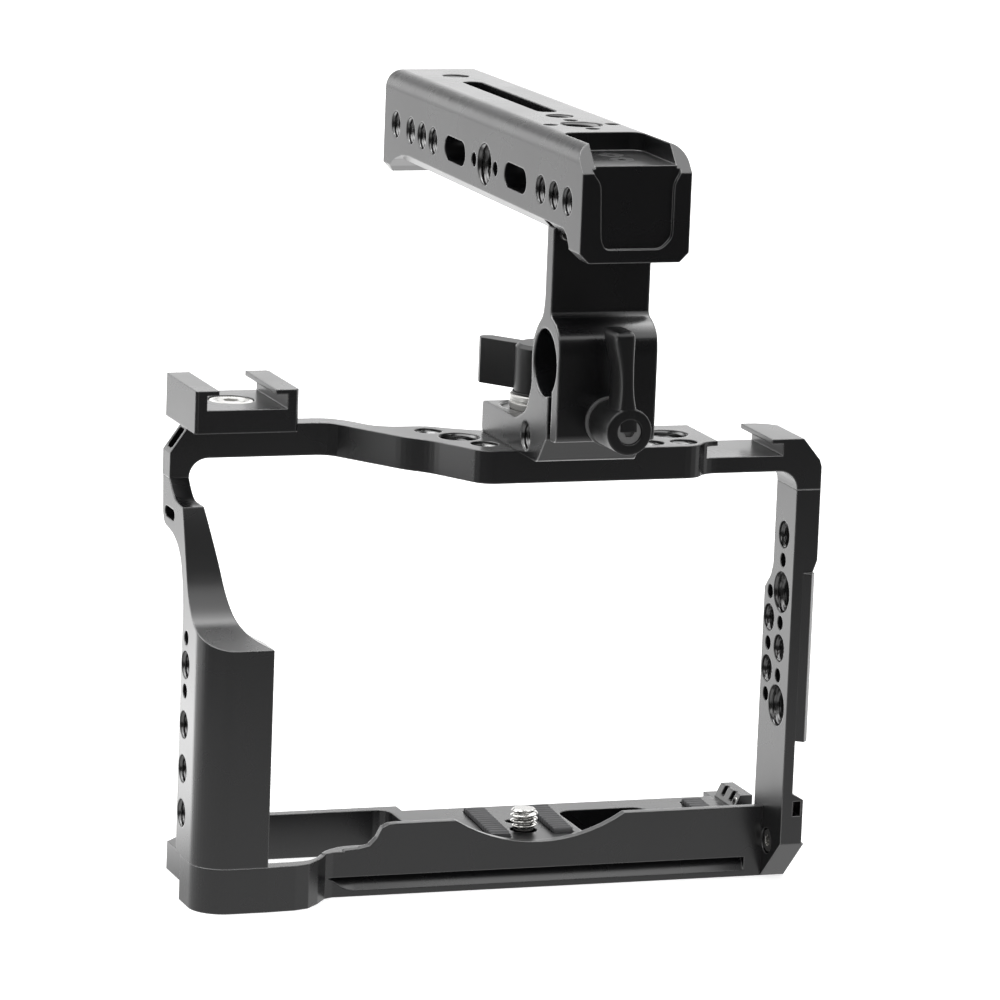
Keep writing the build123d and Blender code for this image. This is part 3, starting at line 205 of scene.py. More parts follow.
# ---------------------------------------------------------------- node groups shared by the finishes
def new_group(name, inputs, outputs):
    """Empty shader node group with the given sockets: (name, type, default) in, (name, type) out."""
    tree = bpy.data.node_groups.new(name, "ShaderNodeTree")
    for label, kind, default in inputs:
        socket = tree.interface.new_socket(label, in_out="INPUT", socket_type=kind)
        socket.default_value = default
    for label, kind in outputs:
        tree.interface.new_socket(label, in_out="OUTPUT", socket_type=kind)
    return tree, tree.nodes.new("NodeGroupInput"), tree.nodes.new("NodeGroupOutput")


def maths(tree, operation, a, b=None, clamp=False):
    """Math node on two sockets or numbers; returns its output."""
    node = tree.nodes.new("ShaderNodeMath")
    node.operation, node.use_clamp = operation, clamp
    for slot, value in zip(node.inputs, (a, b)):
        if isinstance(value, bpy.types.NodeSocket):
            tree.links.new(value, slot)
        elif value is not None:
            slot.default_value = value
    return node.outputs[0]


def ramp(tree, value, start, end, low, high):
    """Carries a value from start..end onto low..high with soft ends; returns the socket."""
    node = tree.nodes.new("ShaderNodeMapRange")
    node.interpolation_type = "SMOOTHSTEP"
    for label, number in (("From Min", start), ("From Max", end), ("To Min", low), ("To Max", high)):
        node.inputs[label].default_value = number
    tree.links.new(value, node.inputs["Value"])
    return node.outputs["Result"]


def grain_group():
    """Fine blasted grain with slow clouds over it: a height for the bump and a 0 to 1 cloud mask."""
    name = "Blasted grain"
    if name in bpy.data.node_groups:
        return bpy.data.node_groups[name]
    tree, given, out = new_group(name, [("Size", "NodeSocketFloat", 0.0003)],
                                 [("Height", "NodeSocketFloat"), ("Clouds", "NodeSocketFloat")])
    place = tree.nodes.new("ShaderNodeTexCoord")
    fine = tree.nodes.new("ShaderNodeTexNoise")
    fine.inputs["Detail"].default_value = 3
    slow = tree.nodes.new("ShaderNodeTexNoise")
    slow.inputs["Scale"].default_value = 45
    slow.inputs["Detail"].default_value = 4
    for node in (fine, slow):
        tree.links.new(place.outputs["Object"], node.inputs["Vector"])
    tree.links.new(maths(tree, "DIVIDE", 1.0, given.outputs["Size"]), fine.inputs["Scale"])
    tree.links.new(fine.outputs["Fac"], out.inputs["Height"])
    tree.links.new(slow.outputs["Fac"], out.inputs["Clouds"])
    return tree


def edge_group():
    """Broken edges: a normal rounded over the edge, and a mask that is 1 where the normal turns."""
    name = "Broken edge"
    if name in bpy.data.node_groups:
        return bpy.data.node_groups[name]
    tree, given, out = new_group(
        name, [("Radius", "NodeSocketFloat", FRAME_EDGE), ("Gain", "NodeSocketFloat", 3.5)],
        [("Normal", "NodeSocketVector"), ("Edge", "NodeSocketFloat")])
    bevel = tree.nodes.new("ShaderNodeBevel")
    bevel.samples = 8
    tree.links.new(given.outputs["Radius"], bevel.inputs["Radius"])
    flat = tree.nodes.new("ShaderNodeNewGeometry")
    dot = tree.nodes.new("ShaderNodeVectorMath")
    dot.operation = "DOT_PRODUCT"
    tree.links.new(bevel.outputs["Normal"], dot.inputs[0])
    tree.links.new(flat.outputs["Normal"], dot.inputs[1])
    turned_away = maths(tree, "SUBTRACT", 1.0, dot.outputs["Value"])
    edge = maths(tree, "MULTIPLY", turned_away, given.outputs["Gain"], clamp=True)
    tree.links.new(bevel.outputs["Normal"], out.inputs["Normal"])
    tree.links.new(edge, out.inputs["Edge"])
    return tree


def turning_group():
    """Lathe marks: fine rings round the Z axis of the coordinates given, as a height and a mask."""
    name = "Turning marks"
    if name in bpy.data.node_groups:
        return bpy.data.node_groups[name]
    tree, given, out = new_group(
        name, [("Vector", "NodeSocketVector", (0, 0, 0)), ("Pitch", "NodeSocketFloat", LATHE_PITCH)],
        [("Height", "NodeSocketFloat"), ("Rings", "NodeSocketFloat")])
    wave = tree.nodes.new("ShaderNodeTexWave")
    wave.wave_type, wave.rings_direction = "RINGS", "Z"
    wave.inputs["Distortion"].default_value = 0.6
    wave.inputs["Detail"].default_value = 2
    tree.links.new(given.outputs["Vector"], wave.inputs["Vector"])
    # the wave node draws a ring every 0.314 / scale
    tree.links.new(maths(tree, "DIVIDE", 0.314, given.outputs["Pitch"]), wave.inputs["Scale"])
    noise = tree.nodes.new("ShaderNodeTexNoise")
    noise.inputs["Scale"].default_value = 400
    tree.links.new(given.outputs["Vector"], noise.inputs["Vector"])
    tree.links.new(wave.outputs["Fac"], out.inputs["Height"])
    tree.links.new(maths(tree, "MULTIPLY", wave.outputs["Fac"], noise.outputs["Fac"]), out.inputs["Rings"])
    return tree


# ---------------------------------------------------------------- finishes
def new_material(name):
    material = bpy.data.materials.new(name)
    material.use_nodes = True
    tree = material.node_tree
    return material, tree, tree.nodes["Principled BSDF"]


def place_group(tree, group, **values):
    node = tree.nodes.new("ShaderNodeGroup")
    node.node_tree = group
    for label, value in values.items():
        node.inputs[label].default_value = value
    return node


def mix_colours(tree, mask, low, high):
    """Mixes two colours by a mask; returns the colour socket."""
    mix = tree.nodes.new("ShaderNodeMix")
    mix.data_type = "RGBA"
    mix.inputs["A"].default_value = (*low, 1)
    mix.inputs["B"].default_value = (*high, 1)
    tree.links.new(mask, mix.inputs["Factor"])
    return mix.outputs["Result"]


def bumped(tree, shader, height, distance, strength, normal=None):
    bump = tree.nodes.new("ShaderNodeBump")
    bump.inputs["Distance"].default_value = distance
    bump.inputs["Strength"].default_value = strength
    tree.links.new(height, bump.inputs["Height"])
    if normal is not None:
        tree.links.new(normal, bump.inputs["Normal"])
    tree.links.new(bump.outputs["Normal"], shader.inputs["Normal"])


def anodised(name, colour, roughness, edge_radius, wear_and_highlight, grain=FRAME_GRAIN, ior=FRAME_IOR):
    """Blasted and anodised aluminium: grainy black with clouds, with bare metal on its broken edges that is
    partly wear and partly a painted edge highlight.
    """
    material, tree, shader = new_material(name)
    grains = place_group(tree, grain_group(), Size=grain)
    edges = place_group(tree, edge_group(), Radius=edge_radius, Gain=3.5)
    patches = ramp(tree, grains.outputs["Clouds"], 0.3, 0.65, 0.35, 1)
    # the edge mask, broken up by the clouds, turns the colour to bare metal and metallic: partly wear, partly
    # a painted edge highlight
    mask = maths(tree, "MULTIPLY", maths(tree, "MULTIPLY", edges.outputs["Edge"], patches), wear_and_highlight, clamp=True)
    tree.links.new(mix_colours(tree, mask, colour, WORN_METAL_AND_HIGHLIGHT), shader.inputs["Base Color"])
    tree.links.new(mask, shader.inputs["Metallic"])
    tree.links.new(ramp(tree, grains.outputs["Clouds"], 0, 1, roughness - 0.03, roughness + 0.04),
                   shader.inputs["Roughness"])
    bumped(tree, shader, grains.outputs["Height"], 0.00002, 0.1, edges.outputs["Normal"])
    shader.inputs["IOR"].default_value = ior
    return material


def turned_steel(name, colour, roughness, centre=(0, 0, 0), axis="Z", metallic=1.0):
    """Turned and polished steel with lathe rings round its own axis."""
    material, tree, shader = new_material(name)
    place = tree.nodes.new("ShaderNodeTexCoord")
    centred = tree.nodes.new("ShaderNodeMapping")
    centred.vector_type = "TEXTURE"
    centred.inputs["Location"].default_value = [c * MM for c in centre]
    centred.inputs["Rotation"].default_value = AXIS_TURN[axis]
    tree.links.new(place.outputs["Object"], centred.inputs["Vector"])
    rings = place_group(tree, turning_group(), Pitch=LATHE_PITCH)
    tree.links.new(centred.outputs["Vector"], rings.inputs["Vector"])
    edges = place_group(tree, edge_group(), Radius=STEEL_EDGE, Gain=3.0)
    dark = tuple(c * 0.78 for c in colour)
    marks = rings.outputs["Rings"]
    tree.links.new(mix_colours(tree, marks, colour, dark), shader.inputs["Base Color"])
    tree.links.new(ramp(tree, marks, 0, 1, roughness, roughness + 0.12), shader.inputs["Roughness"])
    bumped(tree, shader, rings.outputs["Height"], 0.00001, 0.25, edges.outputs["Normal"])
    shader.inputs["Metallic"].default_value = metallic
    return material


def cut_threads(name):
    """Tapped threads: dark metal, glinting on the crests that the tap burnished."""
    material, tree, shader = new_material(name)
    grains = place_group(tree, grain_group(), Size=COARSE_GRAIN)
    tree.links.new(mix_colours(tree, grains.outputs["Clouds"], THREAD_DARK, THREAD_BRIGHT),
                   shader.inputs["Base Color"])
    tree.links.new(ramp(tree, grains.outputs["Clouds"], 0, 1, 0.16, 0.3), shader.inputs["Roughness"])
    bumped(tree, shader, grains.outputs["Height"], 0.00001, 0.2)
    shader.inputs["Metallic"].default_value = 0.9
    return material


def moulded_rubber(name, colour):
    """Moulded rubber: matt, with grey dust in its clouds."""
    material, tree, shader = new_material(name)
    grains = place_group(tree, grain_group(), Size=COARSE_GRAIN)
    dusty = tuple(c * 1.8 + 0.006 for c in colour)
    tree.links.new(mix_colours(tree, grains.outputs["Clouds"], colour, dusty), shader.inputs["Base Color"])
    tree.links.new(ramp(tree, grains.outputs["Clouds"], 0, 1, 0.6, 0.78), shader.inputs["Roughness"])
    bumped(tree, shader, grains.outputs["Height"], 0.00004, 0.5)
    return material


def finish_node(node, material):
    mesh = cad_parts[node].data
    mesh.materials.clear()
    mesh.materials.append(material)


def finish(name, make):
    """The finish of that name, made the first time it is asked for."""
    return bpy.data.materials.get(name) or make(name)


def frame_finish(look):
    return finish("black_anodising",
                  lambda n: anodised(n, tuple(look.black), look.frame_roughness, FRAME_EDGE, look.wear_and_highlight))


def worn_highlit_finish(look):
    # the mount's edges get half as much again of the bare metal: wear and a stronger painted edge highlight
    wear_and_highlight = min(1.0, MOUNT_WEAR_AND_HIGHLIGHT * look.wear_and_highlight)
    return finish("black_anodising_worn_highlit_edges",
                  lambda n: anodised(n, tuple(look.black), look.frame_roughness, MOUNT_EDGE, wear_and_highlight))


def lever_finish(look):
    # the levers get a tenth of the bare metal on their edges, so little painted edge highlight
    wear_and_highlight = LEVER_WEAR_AND_HIGHLIGHT * look.wear_and_highlight
    return finish("satin_black", lambda n: anodised(
        n, tuple(look.satin), 0.38, LEVER_EDGE, wear_and_highlight, LEVER_GRAIN, LEVER_IOR))


def stud_finish():
    return finish("dark_steel", lambda n: turned_steel(
        n, STUD_GREY, 0.42, (LEVER_X, 0, LEVER_Z - REST), "Y", 0.2))


def steel_finish(look, name, centre=(0, 0, 0)):
    return finish(name, lambda n: turned_steel(n, tuple(look.steel), 0.16, centre))


def nickel_finish(look, name, centre=(0, 0, 0)):
    """Paler and duller than the steel, as plated."""
    pale = tuple(1.25 * c for c in look.steel)
    return finish(name, lambda n: turned_steel(n, pale, 0.3, centre, "Z", 0.45))


def thread_finish():
    return finish("cut_threads", cut_threads)


def rubber_finish(look):
    return finish("ribbed_rubber", lambda n: moulded_rubber(n, tuple(look.rubber)))


# ---------------------------------------------------------------- surfaces worked out with numpy
DIRECTIONS = {"X": ((0, 1, 0), (0, 0, 1), (1, 0, 0)), "Y": ((0, 0, 1), (1, 0, 0), (0, 1, 0)),
              "Z": ((1, 0, 0), (0, 1, 0), (0, 0, 1))}


def placed(axis, centre, across, up, along):
    """Centre plus across, up and along times the directions of an axis: mm above the underside in,
    metres out."""
    u, v, w = (np.array(direction, float) for direction in DIRECTIONS[axis])
    across, up, along = np.broadcast_arrays(across, up, along)
    points = across[..., None] * u + up[..., None] * v + along[..., None] * w
    return (points + np.array(centre, float) - (0, 0, REST)) * MM


def circle(steps):
    """Angles of a closed ring, as one row."""
    return np.linspace(0, FULL, steps, endpoint=False)[None, :]


def turned(axis, centre, along, radius, steps=64):
    """Surface of revolution: at each distance along the axis a ring of that radius, which may vary
    round it."""
    angle = circle(steps)
    along = np.asarray(along, float).reshape(-1, 1)
    radius = np.asarray(radius, float).reshape(len(along), -1) + 0 * angle
    return placed(axis, centre, radius * np.cos(angle), radius * np.sin(angle), along)


def shell(points, closed=False):
    """Quads of a grid whose columns close up; its rows close up too, or end in two flat caps."""
    rows, columns = points.shape[:2]
    index = np.arange(rows * columns).reshape(rows, columns)
    index = np.hstack([index, index[:, :1]])
    caps = [] if closed else [index[0, :-1], index[-1, :-1]]
    if closed:
        index = np.vstack([index, index[:1]])
    quads = np.stack([index[:-1, :-1], index[1:, :-1], index[1:, 1:], index[:-1, 1:]], -1).reshape(-1, 4)
    return points.reshape(-1, 3), quads, caps


def build(name, shells, material, sharp=40.0):
    """Mesh object of several shells, its faces turned outwards and its edges sharp above an angle in
    degrees."""
    faces, start = [], 0
    for points, quads, caps in shells:
        faces += (quads + start).tolist() + [(cap + start).tolist() for cap in caps]
        start += len(points)
    mesh = bpy.data.meshes.new(name)
    mesh.from_pydata(np.concatenate([points for points, _, _ in shells]).tolist(), [], faces)
    mesh.materials.append(material)
    work = bmesh.new()
    work.from_mesh(mesh)
    bmesh.ops.recalc_face_normals(work, faces=work.faces)
    work.to_mesh(mesh)
    work.free()
    mesh.polygons.foreach_set("use_smooth", np.ones(len(mesh.polygons), bool))
    mesh.set_sharp_from_angle(angle=math.radians(sharp))
    piece = bpy.data.objects.new(name, mesh)
    bpy.context.scene.collection.objects.link(piece)
    return piece


def fit_out(piece, body, slot, *nodes):
    """Rides a piece on a body and hides the CAD nodes that it stands for; its slot is not used."""
    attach(piece, body)
    if nodes:
        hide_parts(*nodes)


def thread_wave(angle, along, start, end, pitch, rounded=False):
    """How far a thread stands out, 0 to 1: a V wave of distance / pitch less angle / turn, cut flat at
    root and crest, or rounded as a raised cosine, and faded in and out over three quarters of a pitch."""
    phase = along / pitch - angle / FULL
    flat = np.clip((0.88 - np.abs(2 * (phase % 1) - 1)) / 0.76, 0, 1)
    wave = (0.5 - 0.5 * np.cos(FULL * phase)) ** 1.3 if rounded else flat
    return wave * np.clip(np.minimum(along - start, end - along) / (0.75 * pitch), 0, 1)


def tapped_lining(thread, axis, centre, start, end, rows_each):
    """Ring that lines a tapped hole: its inner skin is the major radius less the thread wave, its outer
    skin lies just inside the wall."""
    major, pitch = THREADS[thread]
    start, end = sorted((start, end))
    start, end = start + MOUTH, end - MOUTH
    rows = max(10, int((end - start) / pitch * rows_each))
    along, angle = np.linspace(start, end, rows)[:, None], circle(40)
    free, depth = 0.015, 0.54 * pitch
    inner = major - free - depth * thread_wave(angle, along, start, end, pitch)
    radius = np.vstack([inner, np.full((2, angle.size), major + LINING)])
    along = np.vstack([along, [[end]], [[start]]])
    return shell(placed(axis, centre, radius * np.cos(angle), radius * np.sin(angle), along), closed=True)


def rounded_section(angle, half_across, half_up, power):
    """Superellipse: cosine and sine of the angle, each to the power 2 / power, times the half sizes."""
    def swell(value):
        return np.sign(value) * np.abs(value) ** (2 / power)
    return half_across * swell(np.cos(angle)), half_up * swell(np.sin(angle))


def slotted_head(z0, z1, radius, half_slot, depth):
    """Screw head with a coin slot: at each x a rectangle as wide as the chord there, its underside raised
    by the slot's depth where x is inside the slot."""
    side = radius * np.sin(np.linspace(-np.pi / 2, -np.arcsin(half_slot / radius), 16))
    x = np.concatenate([side, -side[::-1]])
    x = np.insert(x, 16, [-half_slot + 0.01, half_slot - 0.01])[:, None]
    chord = np.sqrt(np.maximum(radius ** 2 - x ** 2, 1e-3))
    low = np.where(np.abs(x) < half_slot, z0 + depth, z0)
    turn = np.array([[-1, -1, 1, 1]]), np.array([[0, 1, 1, 0]])
    return shell(placed("Z", (0, 0, 0), x, chord * turn[0], low + (z1 - low) * turn[1]))


def threaded_stem(z0, z1, top, neck, thread, rows_each):
    """Neck from z0 to z1, then a threaded stem to the top: minor radius plus the thread wave, chamfered
    above."""
    major, pitch = THREADS[thread]
    depth, chamfer, slope = 0.6 * pitch, 0.7, 1.1
    angle, rise = circle(56), np.linspace(z1, top, int((top - z1) / pitch * rows_each))[:, None]
    radius = major - depth + depth * thread_wave(angle, rise, z1, top + pitch, pitch, rounded=True)
    radius = np.minimum(radius, major - (rise - (top - chamfer)) * slope)
    heights = np.vstack([[[z0]], [[z1]], rise])
    radii = np.vstack([np.full((2, angle.size), neck), radius])
    return shell(turned("Z", (0, 0, 0), heights, radii, angle.size))


def ribbed_pad(x, y0, y1, pitch):
    """Pad: a superellipse carried along its length, its height and width ebbing with the cosine of the
    ribs and its ends rounded by a quarter circle."""
    length, rounding, steps_each = y1 - y0, 0.7, 12
    side_ebb, top_ebb, end_drop = 0.4, 0.7, 0.7
    along = np.linspace(-length / 2, length / 2, int(length / pitch) * steps_each + 1)[:, None]
    ebb = (0.5 + 0.5 * np.cos(FULL * along / pitch)) ** 1.3
    end = np.clip((np.abs(along) - length / 2 + rounding) / rounding, 0, 0.999)
    across, up = rounded_section(circle(36), PAD_W / 2 - side_ebb * ebb, (PAD_Z1 - PAD_Z0) / 2, 7.0)
    up = np.where(up > 0, up * (1 - top_ebb * ebb) * np.sqrt(1 - end ** 2 * end_drop), up)
    turn = math.radians(PAD_TURN)
    cos, sin = math.cos(turn), math.sin(turn)
    flat = placed("Y", (0, 0, 0), up, across, along) @ np.array([[cos, sin, 0], [-sin, cos, 0], [0, 0, 1]])
    return shell(flat + np.array([x, (y0 + y1) / 2, (PAD_Z0 + PAD_Z1) / 2]) * MM)


def knurled_screw(z0, z1, radius, socket, depth):
    """Low screw head: rings out from the middle, sunk inside a hexagon, its top cut by a round groove and
    lifting in radial serrations near the rim, then down its knurled side."""
    angle = circle(192)
    sector = (angle + FULL / 12) % (FULL / 6) - FULL / 12
    hexagon = socket * math.cos(math.pi / 6) / np.cos(sector)
    teeth = 0.5 + 0.5 * np.cos(48 * angle)
    level = z1 + 0 * angle
    groove = [(share * radius + 0 * angle, level - drop)
              for share, drop in ((0.62, 0), (0.64, 0.12), (0.7, 0.12), (0.72, 0), (0.76, 0))]
    rings = [(hexagon * 0.02, level - depth), (hexagon * 0.98, level - depth), (hexagon, level),
             (hexagon + 0.25, level), *groove, (0.8 * radius + 0 * angle, level - 0.16 * teeth),
             (0.96 * radius + 0 * angle, level - 0.2 * teeth), (radius - 0.12 * teeth, level - 0.3),
             (radius - 0.12 * teeth, z0 + 0 * angle)]
    across = np.vstack([ring * np.cos(angle) for ring, _ in rings])
    up = np.vstack([ring * np.sin(angle) for ring, _ in rings])
    rise = np.vstack([height for _, height in rings])
    return shell(placed("Z", (*SHOE_SCREW, 0), across, up, rise))


def eased(at, places, values):
    """Values read off at the given places with smooth changes between them: linear steps, averaged over
    a short run."""
    fine = np.linspace(places[0], places[-1], 241)
    line = np.interp(fine, places, values)
    kernel = np.hanning(27)
    smooth = np.convolve(np.pad(line, 13, mode="edge"), kernel / kernel.sum(), mode="valid")
    return np.interp(at, fine, smooth)


def lever_blade():
    """Blade of the clamp lever: a superellipse in plan carried up from the hub's axis, its left and right
    sides eased through the outline, its rear edge hollowed by a sine, and its top end rounded over."""
    places, left, right = np.array(BLADE).T
    top = places[-1]
    over_top = BLADE_ROUND * np.sin(np.linspace(0.15, 1, 8) * np.pi / 2)
    straight = np.linspace(0, top - BLADE_ROUND, 60)
    height = np.concatenate([straight, top - BLADE_ROUND + over_top])[:, None]
    left, right = eased(height, places, left), eased(height, places, right)
    rear = BLADE_REAR - BLADE_HOLLOW * np.sin(np.clip((height - 3) / (top - 4.5), 0, 1) * np.pi)
    front = BLADE_FRONT + 0 * height
    over = np.clip((height - top + BLADE_ROUND) / BLADE_ROUND, 0, 0.995)
    shrink = BLADE_ROUND * (1 - np.sqrt(1 - over ** 2))
    across, deep = rounded_section(
        circle(48), (right - left) / 2 - shrink * 0.6, (rear - front) / 2 - shrink, 4.5)
    across, deep = across + (left + right) / 2, deep + (rear + front) / 2
    return shell(placed("Z", (LEVER_X, 0, LEVER_Z), across, deep, height))


def lever_hub():
    """Hub of the clamp lever: a turned ring whose closed profile runs over the rounded rim and back up
    the bore."""
    rim, rounding, mouth, chamfer = np.linspace(0, np.pi / 2, 7), 0.5, 0.15, 0.3
    edge = [(HUB_R - rounding + rounding * sin, HUB_FRONT + rounding - rounding * cos)
            for sin, cos in zip(np.sin(rim), np.cos(rim))]
    profile = [(HUB_BORE, HUB_FRONT + mouth), (HUB_BORE + mouth, HUB_FRONT), *edge,
               (HUB_R, HUB_REAR - chamfer), (HUB_R - chamfer, HUB_REAR), (STUD_BORE, HUB_REAR),
               (STUD_BORE, HUB_STEP), (HUB_BORE, HUB_STEP)]
    radius, along = np.array(profile).T
    return shell(turned("Y", (LEVER_X, 0, LEVER_Z), along, radius, 72), closed=True)


def spindle_turning(rows_each):
    """Thumb screw's spindle: rings of the radii listed, with the thread wave taken off its lower stem."""
    heights, radii = (np.array(values, float) for values in zip(*SPINDLE_ROWS))
    major, pitch = THREADS["quarter"]
    low, high = SPINDLE_THREAD
    rise = np.linspace(low, high, int((high - low) / pitch * rows_each))
    angle = circle(64)
    wave = thread_wave(angle, rise[:, None], low, high, pitch, rounded=True)
    thread = major - 0.6 * pitch * (1 - wave) - 0.03
    radius = np.vstack([radii[:1, None] + 0 * angle, thread, radii[2:, None] + 0 * angle])
    heights = np.concatenate([heights[:1], rise, heights[2:]])
    return shell(turned("Z", (*SPINDLE, 0), heights, radius, angle.size))


# ---------------------------------------------------------------- operators
FRAME_NODES = ("base_plate", "side_plate_right", "locating_block", "grip_side_plate", "top_plate",
               "cold_shoe_left", "top_handle")
# the mount body takes the finish with the stronger painted edge highlight
WORN_HIGHLIT_NODES = ("mount_body",)
STEEL_NODES = ("foot_screw", "block_pin", "mount_pins", "joint_studs", "side_screws", "stem_pin")
DARK_NODES = ("flag_lever", "flag_washer", "handle_screws", "grip_screws")


class CAGE_OT_finish_frame(bpy.types.Operator):
    """Anodises the plates, the shoe, the mount and the handle"""
    bl_idname = "cage.finish_frame"
    bl_label = "Finish the frame"

    def execute(self, context):
        look = context.scene.cage
        for nodes, coat in ((FRAME_NODES, frame_finish(look)), (WORN_HIGHLIT_NODES, worn_highlit_finish(look))):
            for node in nodes:
                finish_node(node, coat)
        return {"FINISHED"}


class CAGE_OT_finish_small_parts(bpy.types.Operator):
    """Gives the small screws, pins and levers their finishes"""
    bl_idname = "cage.finish_small_parts"
    bl_label = "Finish the small parts"

    def execute(self, context):
        look = context.scene.cage
        for nodes, coat in ((STEEL_NODES, steel_finish(look, "turned_steel")),
                            (DARK_NODES, lever_finish(look)), (("clamp_stud",), stud_finish())):
            for node in nodes:
                finish_node(node, coat)
        return {"FINISHED"}


class CAGE_OT_make_pads(bpy.types.Operator):
    """Moulds the three ribbed pads that the camera rests on"""
    bl_idname = "cage.make_pads"
    bl_label = "Make the pads"

    def execute(self, context):
        look = context.scene.cage
        for name, x, y0, y1 in PADS:
            pad = ribbed_pad(x, y0, y1, look.rib)
            piece = build(f"ribbed_{name}", [pad], rubber_finish(look), 60.0)
            fit_out(piece, "cage", "pad", name)
        return {"FINISHED"}


class CAGE_OT_make_camera_screw(bpy.types.Operator):
    """Turns the captive camera screw with its coin slot, neck and thread"""
    bl_idname = "cage.make_camera_screw"
    bl_label = "Make the camera screw"

    def execute(self, context):
        look = context.scene.cage
        stem = threaded_stem(SCREW_HEAD[1] - 0.5, SCREW_THREAD, SCREW_TOP, SCREW_NECK_R, "quarter",
                             look.thread_rows)
        piece = build("camera_screw_turned", [slotted_head(*SCREW_HEAD, *SCREW_SLOT), stem],
                      steel_finish(look, "camera_screw_steel"))
        fit_out(piece, "camera_screw", "steel", "camera_screw")
        return {"FINISHED"}


class CAGE_OT_make_shoe_screw(bpy.types.Operator):
    """Makes the low knurled screw that holds the left shoe"""
    bl_idname = "cage.make_shoe_screw"
    bl_label = "Make the shoe screw"

    def execute(self, context):
        look = context.scene.cage
        low, thin = SHOE_SHANK
        shank = shell(turned("Z", (*SHOE_SCREW, 0), (low, SHOE_HEAD[0] + 0.2), (thin, thin), 40))
        piece = build("shoe_screw_knurled", [knurled_screw(*SHOE_HEAD, *SHOE_SOCKET), shank],
                      nickel_finish(look, "shoe_screw_nickel", (*SHOE_SCREW, 0)))
        fit_out(piece, "cage", "steel", "cold_shoe_screw")
        return {"FINISHED"}


class CAGE_OT_make_hole_threads(bpy.types.Operator):
    """Cuts the threads of every tapped hole"""
    bl_idname = "cage.make_hole_threads"
    bl_label = "Make the hole threads"

    def execute(self, context):
        look = context.scene.cage
        shells = [tapped_lining(*hole, look.thread_rows) for hole in HOLES]
        piece = build("hole_threads", shells, thread_finish(), 50.0)
        fit_out(piece, "cage", "frame")
        return {"FINISHED"}


class CAGE_OT_make_thumb_screw(bpy.types.Operator):
    """Turns the thumb screw's spindle with its grooved disc"""
    bl_idname = "cage.make_thumb_screw"
    bl_label = "Make the thumb screw"

    def execute(self, context):
        look = context.scene.cage
        piece = build("spindle_turned", [spindle_turning(look.thread_rows)],
                      nickel_finish(look, "spindle_nickel", (*SPINDLE, 0)), 30.0)
        fit_out(piece, "thumb_screw", "steel", "mount_spindle")
        return {"FINISHED"}


class CAGE_OT_make_clamp_lever(bpy.types.Operator):
    """Shapes the pull-out lever of the rod clamp"""
    bl_idname = "cage.make_clamp_lever"
    bl_label = "Make the clamp lever"

    def execute(self, context):
        coat = lever_finish(context.scene.cage)
        piece = build("clamp_lever_moulded", [lever_hub(), lever_blade()], coat, 45.0)
        fit_out(piece, "clamp_handle", "lever", "clamp_lever")
        return {"FINISHED"}


class CAGE_OT_set_stage(bpy.types.Operator):
    """Lays the pale floor, hangs the soft lamps and sets the camera"""
    bl_idname = "cage.set_stage"
    bl_label = "Set the stage"

    def execute(self, context):
        scene, room = context.scene, context.scene.cage_stage
        lay_floor(room)
        light_room(scene, room)
        hang_lamps(scene)
        set_camera(scene)
        scene.view_settings.view_transform = "Standard"
        return {"FINISHED"}


# ---------------------------------------------------------------- stage
def times(tree, a, b):
    return maths(tree, "MULTIPLY", a, b)


def plus(tree, a, b):
    return maths(tree, "ADD", a, b)


def split_place(tree, kind):
    """The three coordinates of a texture place."""
    place = tree.nodes.new("ShaderNodeTexCoord")
    split = tree.nodes.new("ShaderNodeSeparateXYZ")
    tree.links.new(place.outputs[kind], split.inputs["Vector"])
    return [split.outputs[label] for label in "XYZ"]


def floor_in_reflections(tree, room):
    """Level of the floor in reflections, by place in metres: it falls off in front of the cage and to the
    far left there, is at the backdrop's level behind, more so on the left, and dim beyond a slanted line
    to the left; a strong patch far left lights the mount's broken edges."""
    side, depth, _ = split_place(tree, "Object")
    front = times(tree, ramp(tree, depth, -0.62, -0.04, room.dim, room.near),
                  ramp(tree, side, -0.4, -0.2, 0.3, 1))
    behind = ramp(tree, depth, 0.0, 0.09, 0, room.backdrop - room.near)
    left = times(tree, ramp(tree, side, -0.16, -0.02, 1, 0), ramp(tree, depth, 0.15, 0.45, 1.8, 0))
    extra = times(tree, ramp(tree, depth, 0.0, 0.09, 0, 1), left)
    slanted = ramp(tree, plus(tree, side, times(tree, depth, 0.58)), -0.115, -0.07, 0.2, 1)
    level = plus(tree, front, times(tree, plus(tree, behind, extra), slanted))
    patch = times(tree, ramp(tree, side, -0.5, -0.42, 6, 0), ramp(tree, depth, 0.12, 0.2, 0, 1))
    return plus(tree, level, times(tree, patch, ramp(tree, depth, 0.42, 0.5, 1, 0)))


def floor_material(room):
    """White floor that keeps the cage's shadow, glows for the camera and shows its own levels in gloss."""
    material, tree, shader = new_material("pale_floor")
    shader.inputs["Base Color"].default_value = (FLOOR_WHITE, FLOOR_WHITE, FLOOR_WHITE, 1)
    shader.inputs["Roughness"].default_value = 0.6
    shader.inputs["Specular IOR Level"].default_value = 0.2
    shader.inputs["Emission Color"].default_value = (1, 1, 1, 1)
    path = tree.nodes.new("ShaderNodeLightPath")
    tree.links.new(times(tree, path.outputs["Is Camera Ray"], FLOOR_GLOW), shader.inputs["Emission Strength"])
    glow = tree.nodes.new("ShaderNodeEmission")
    tree.links.new(floor_in_reflections(tree, room), glow.inputs["Strength"])
    mix = tree.nodes.new("ShaderNodeMixShader")
    tree.links.new(path.outputs["Is Glossy Ray"], mix.inputs[0])
    tree.links.new(shader.outputs["BSDF"], mix.inputs[1])
    tree.links.new(glow.outputs["Emission"], mix.inputs[2])
    tree.links.new(mix.outputs["Shader"], tree.nodes["Material Output"].inputs["Surface"])
    return material


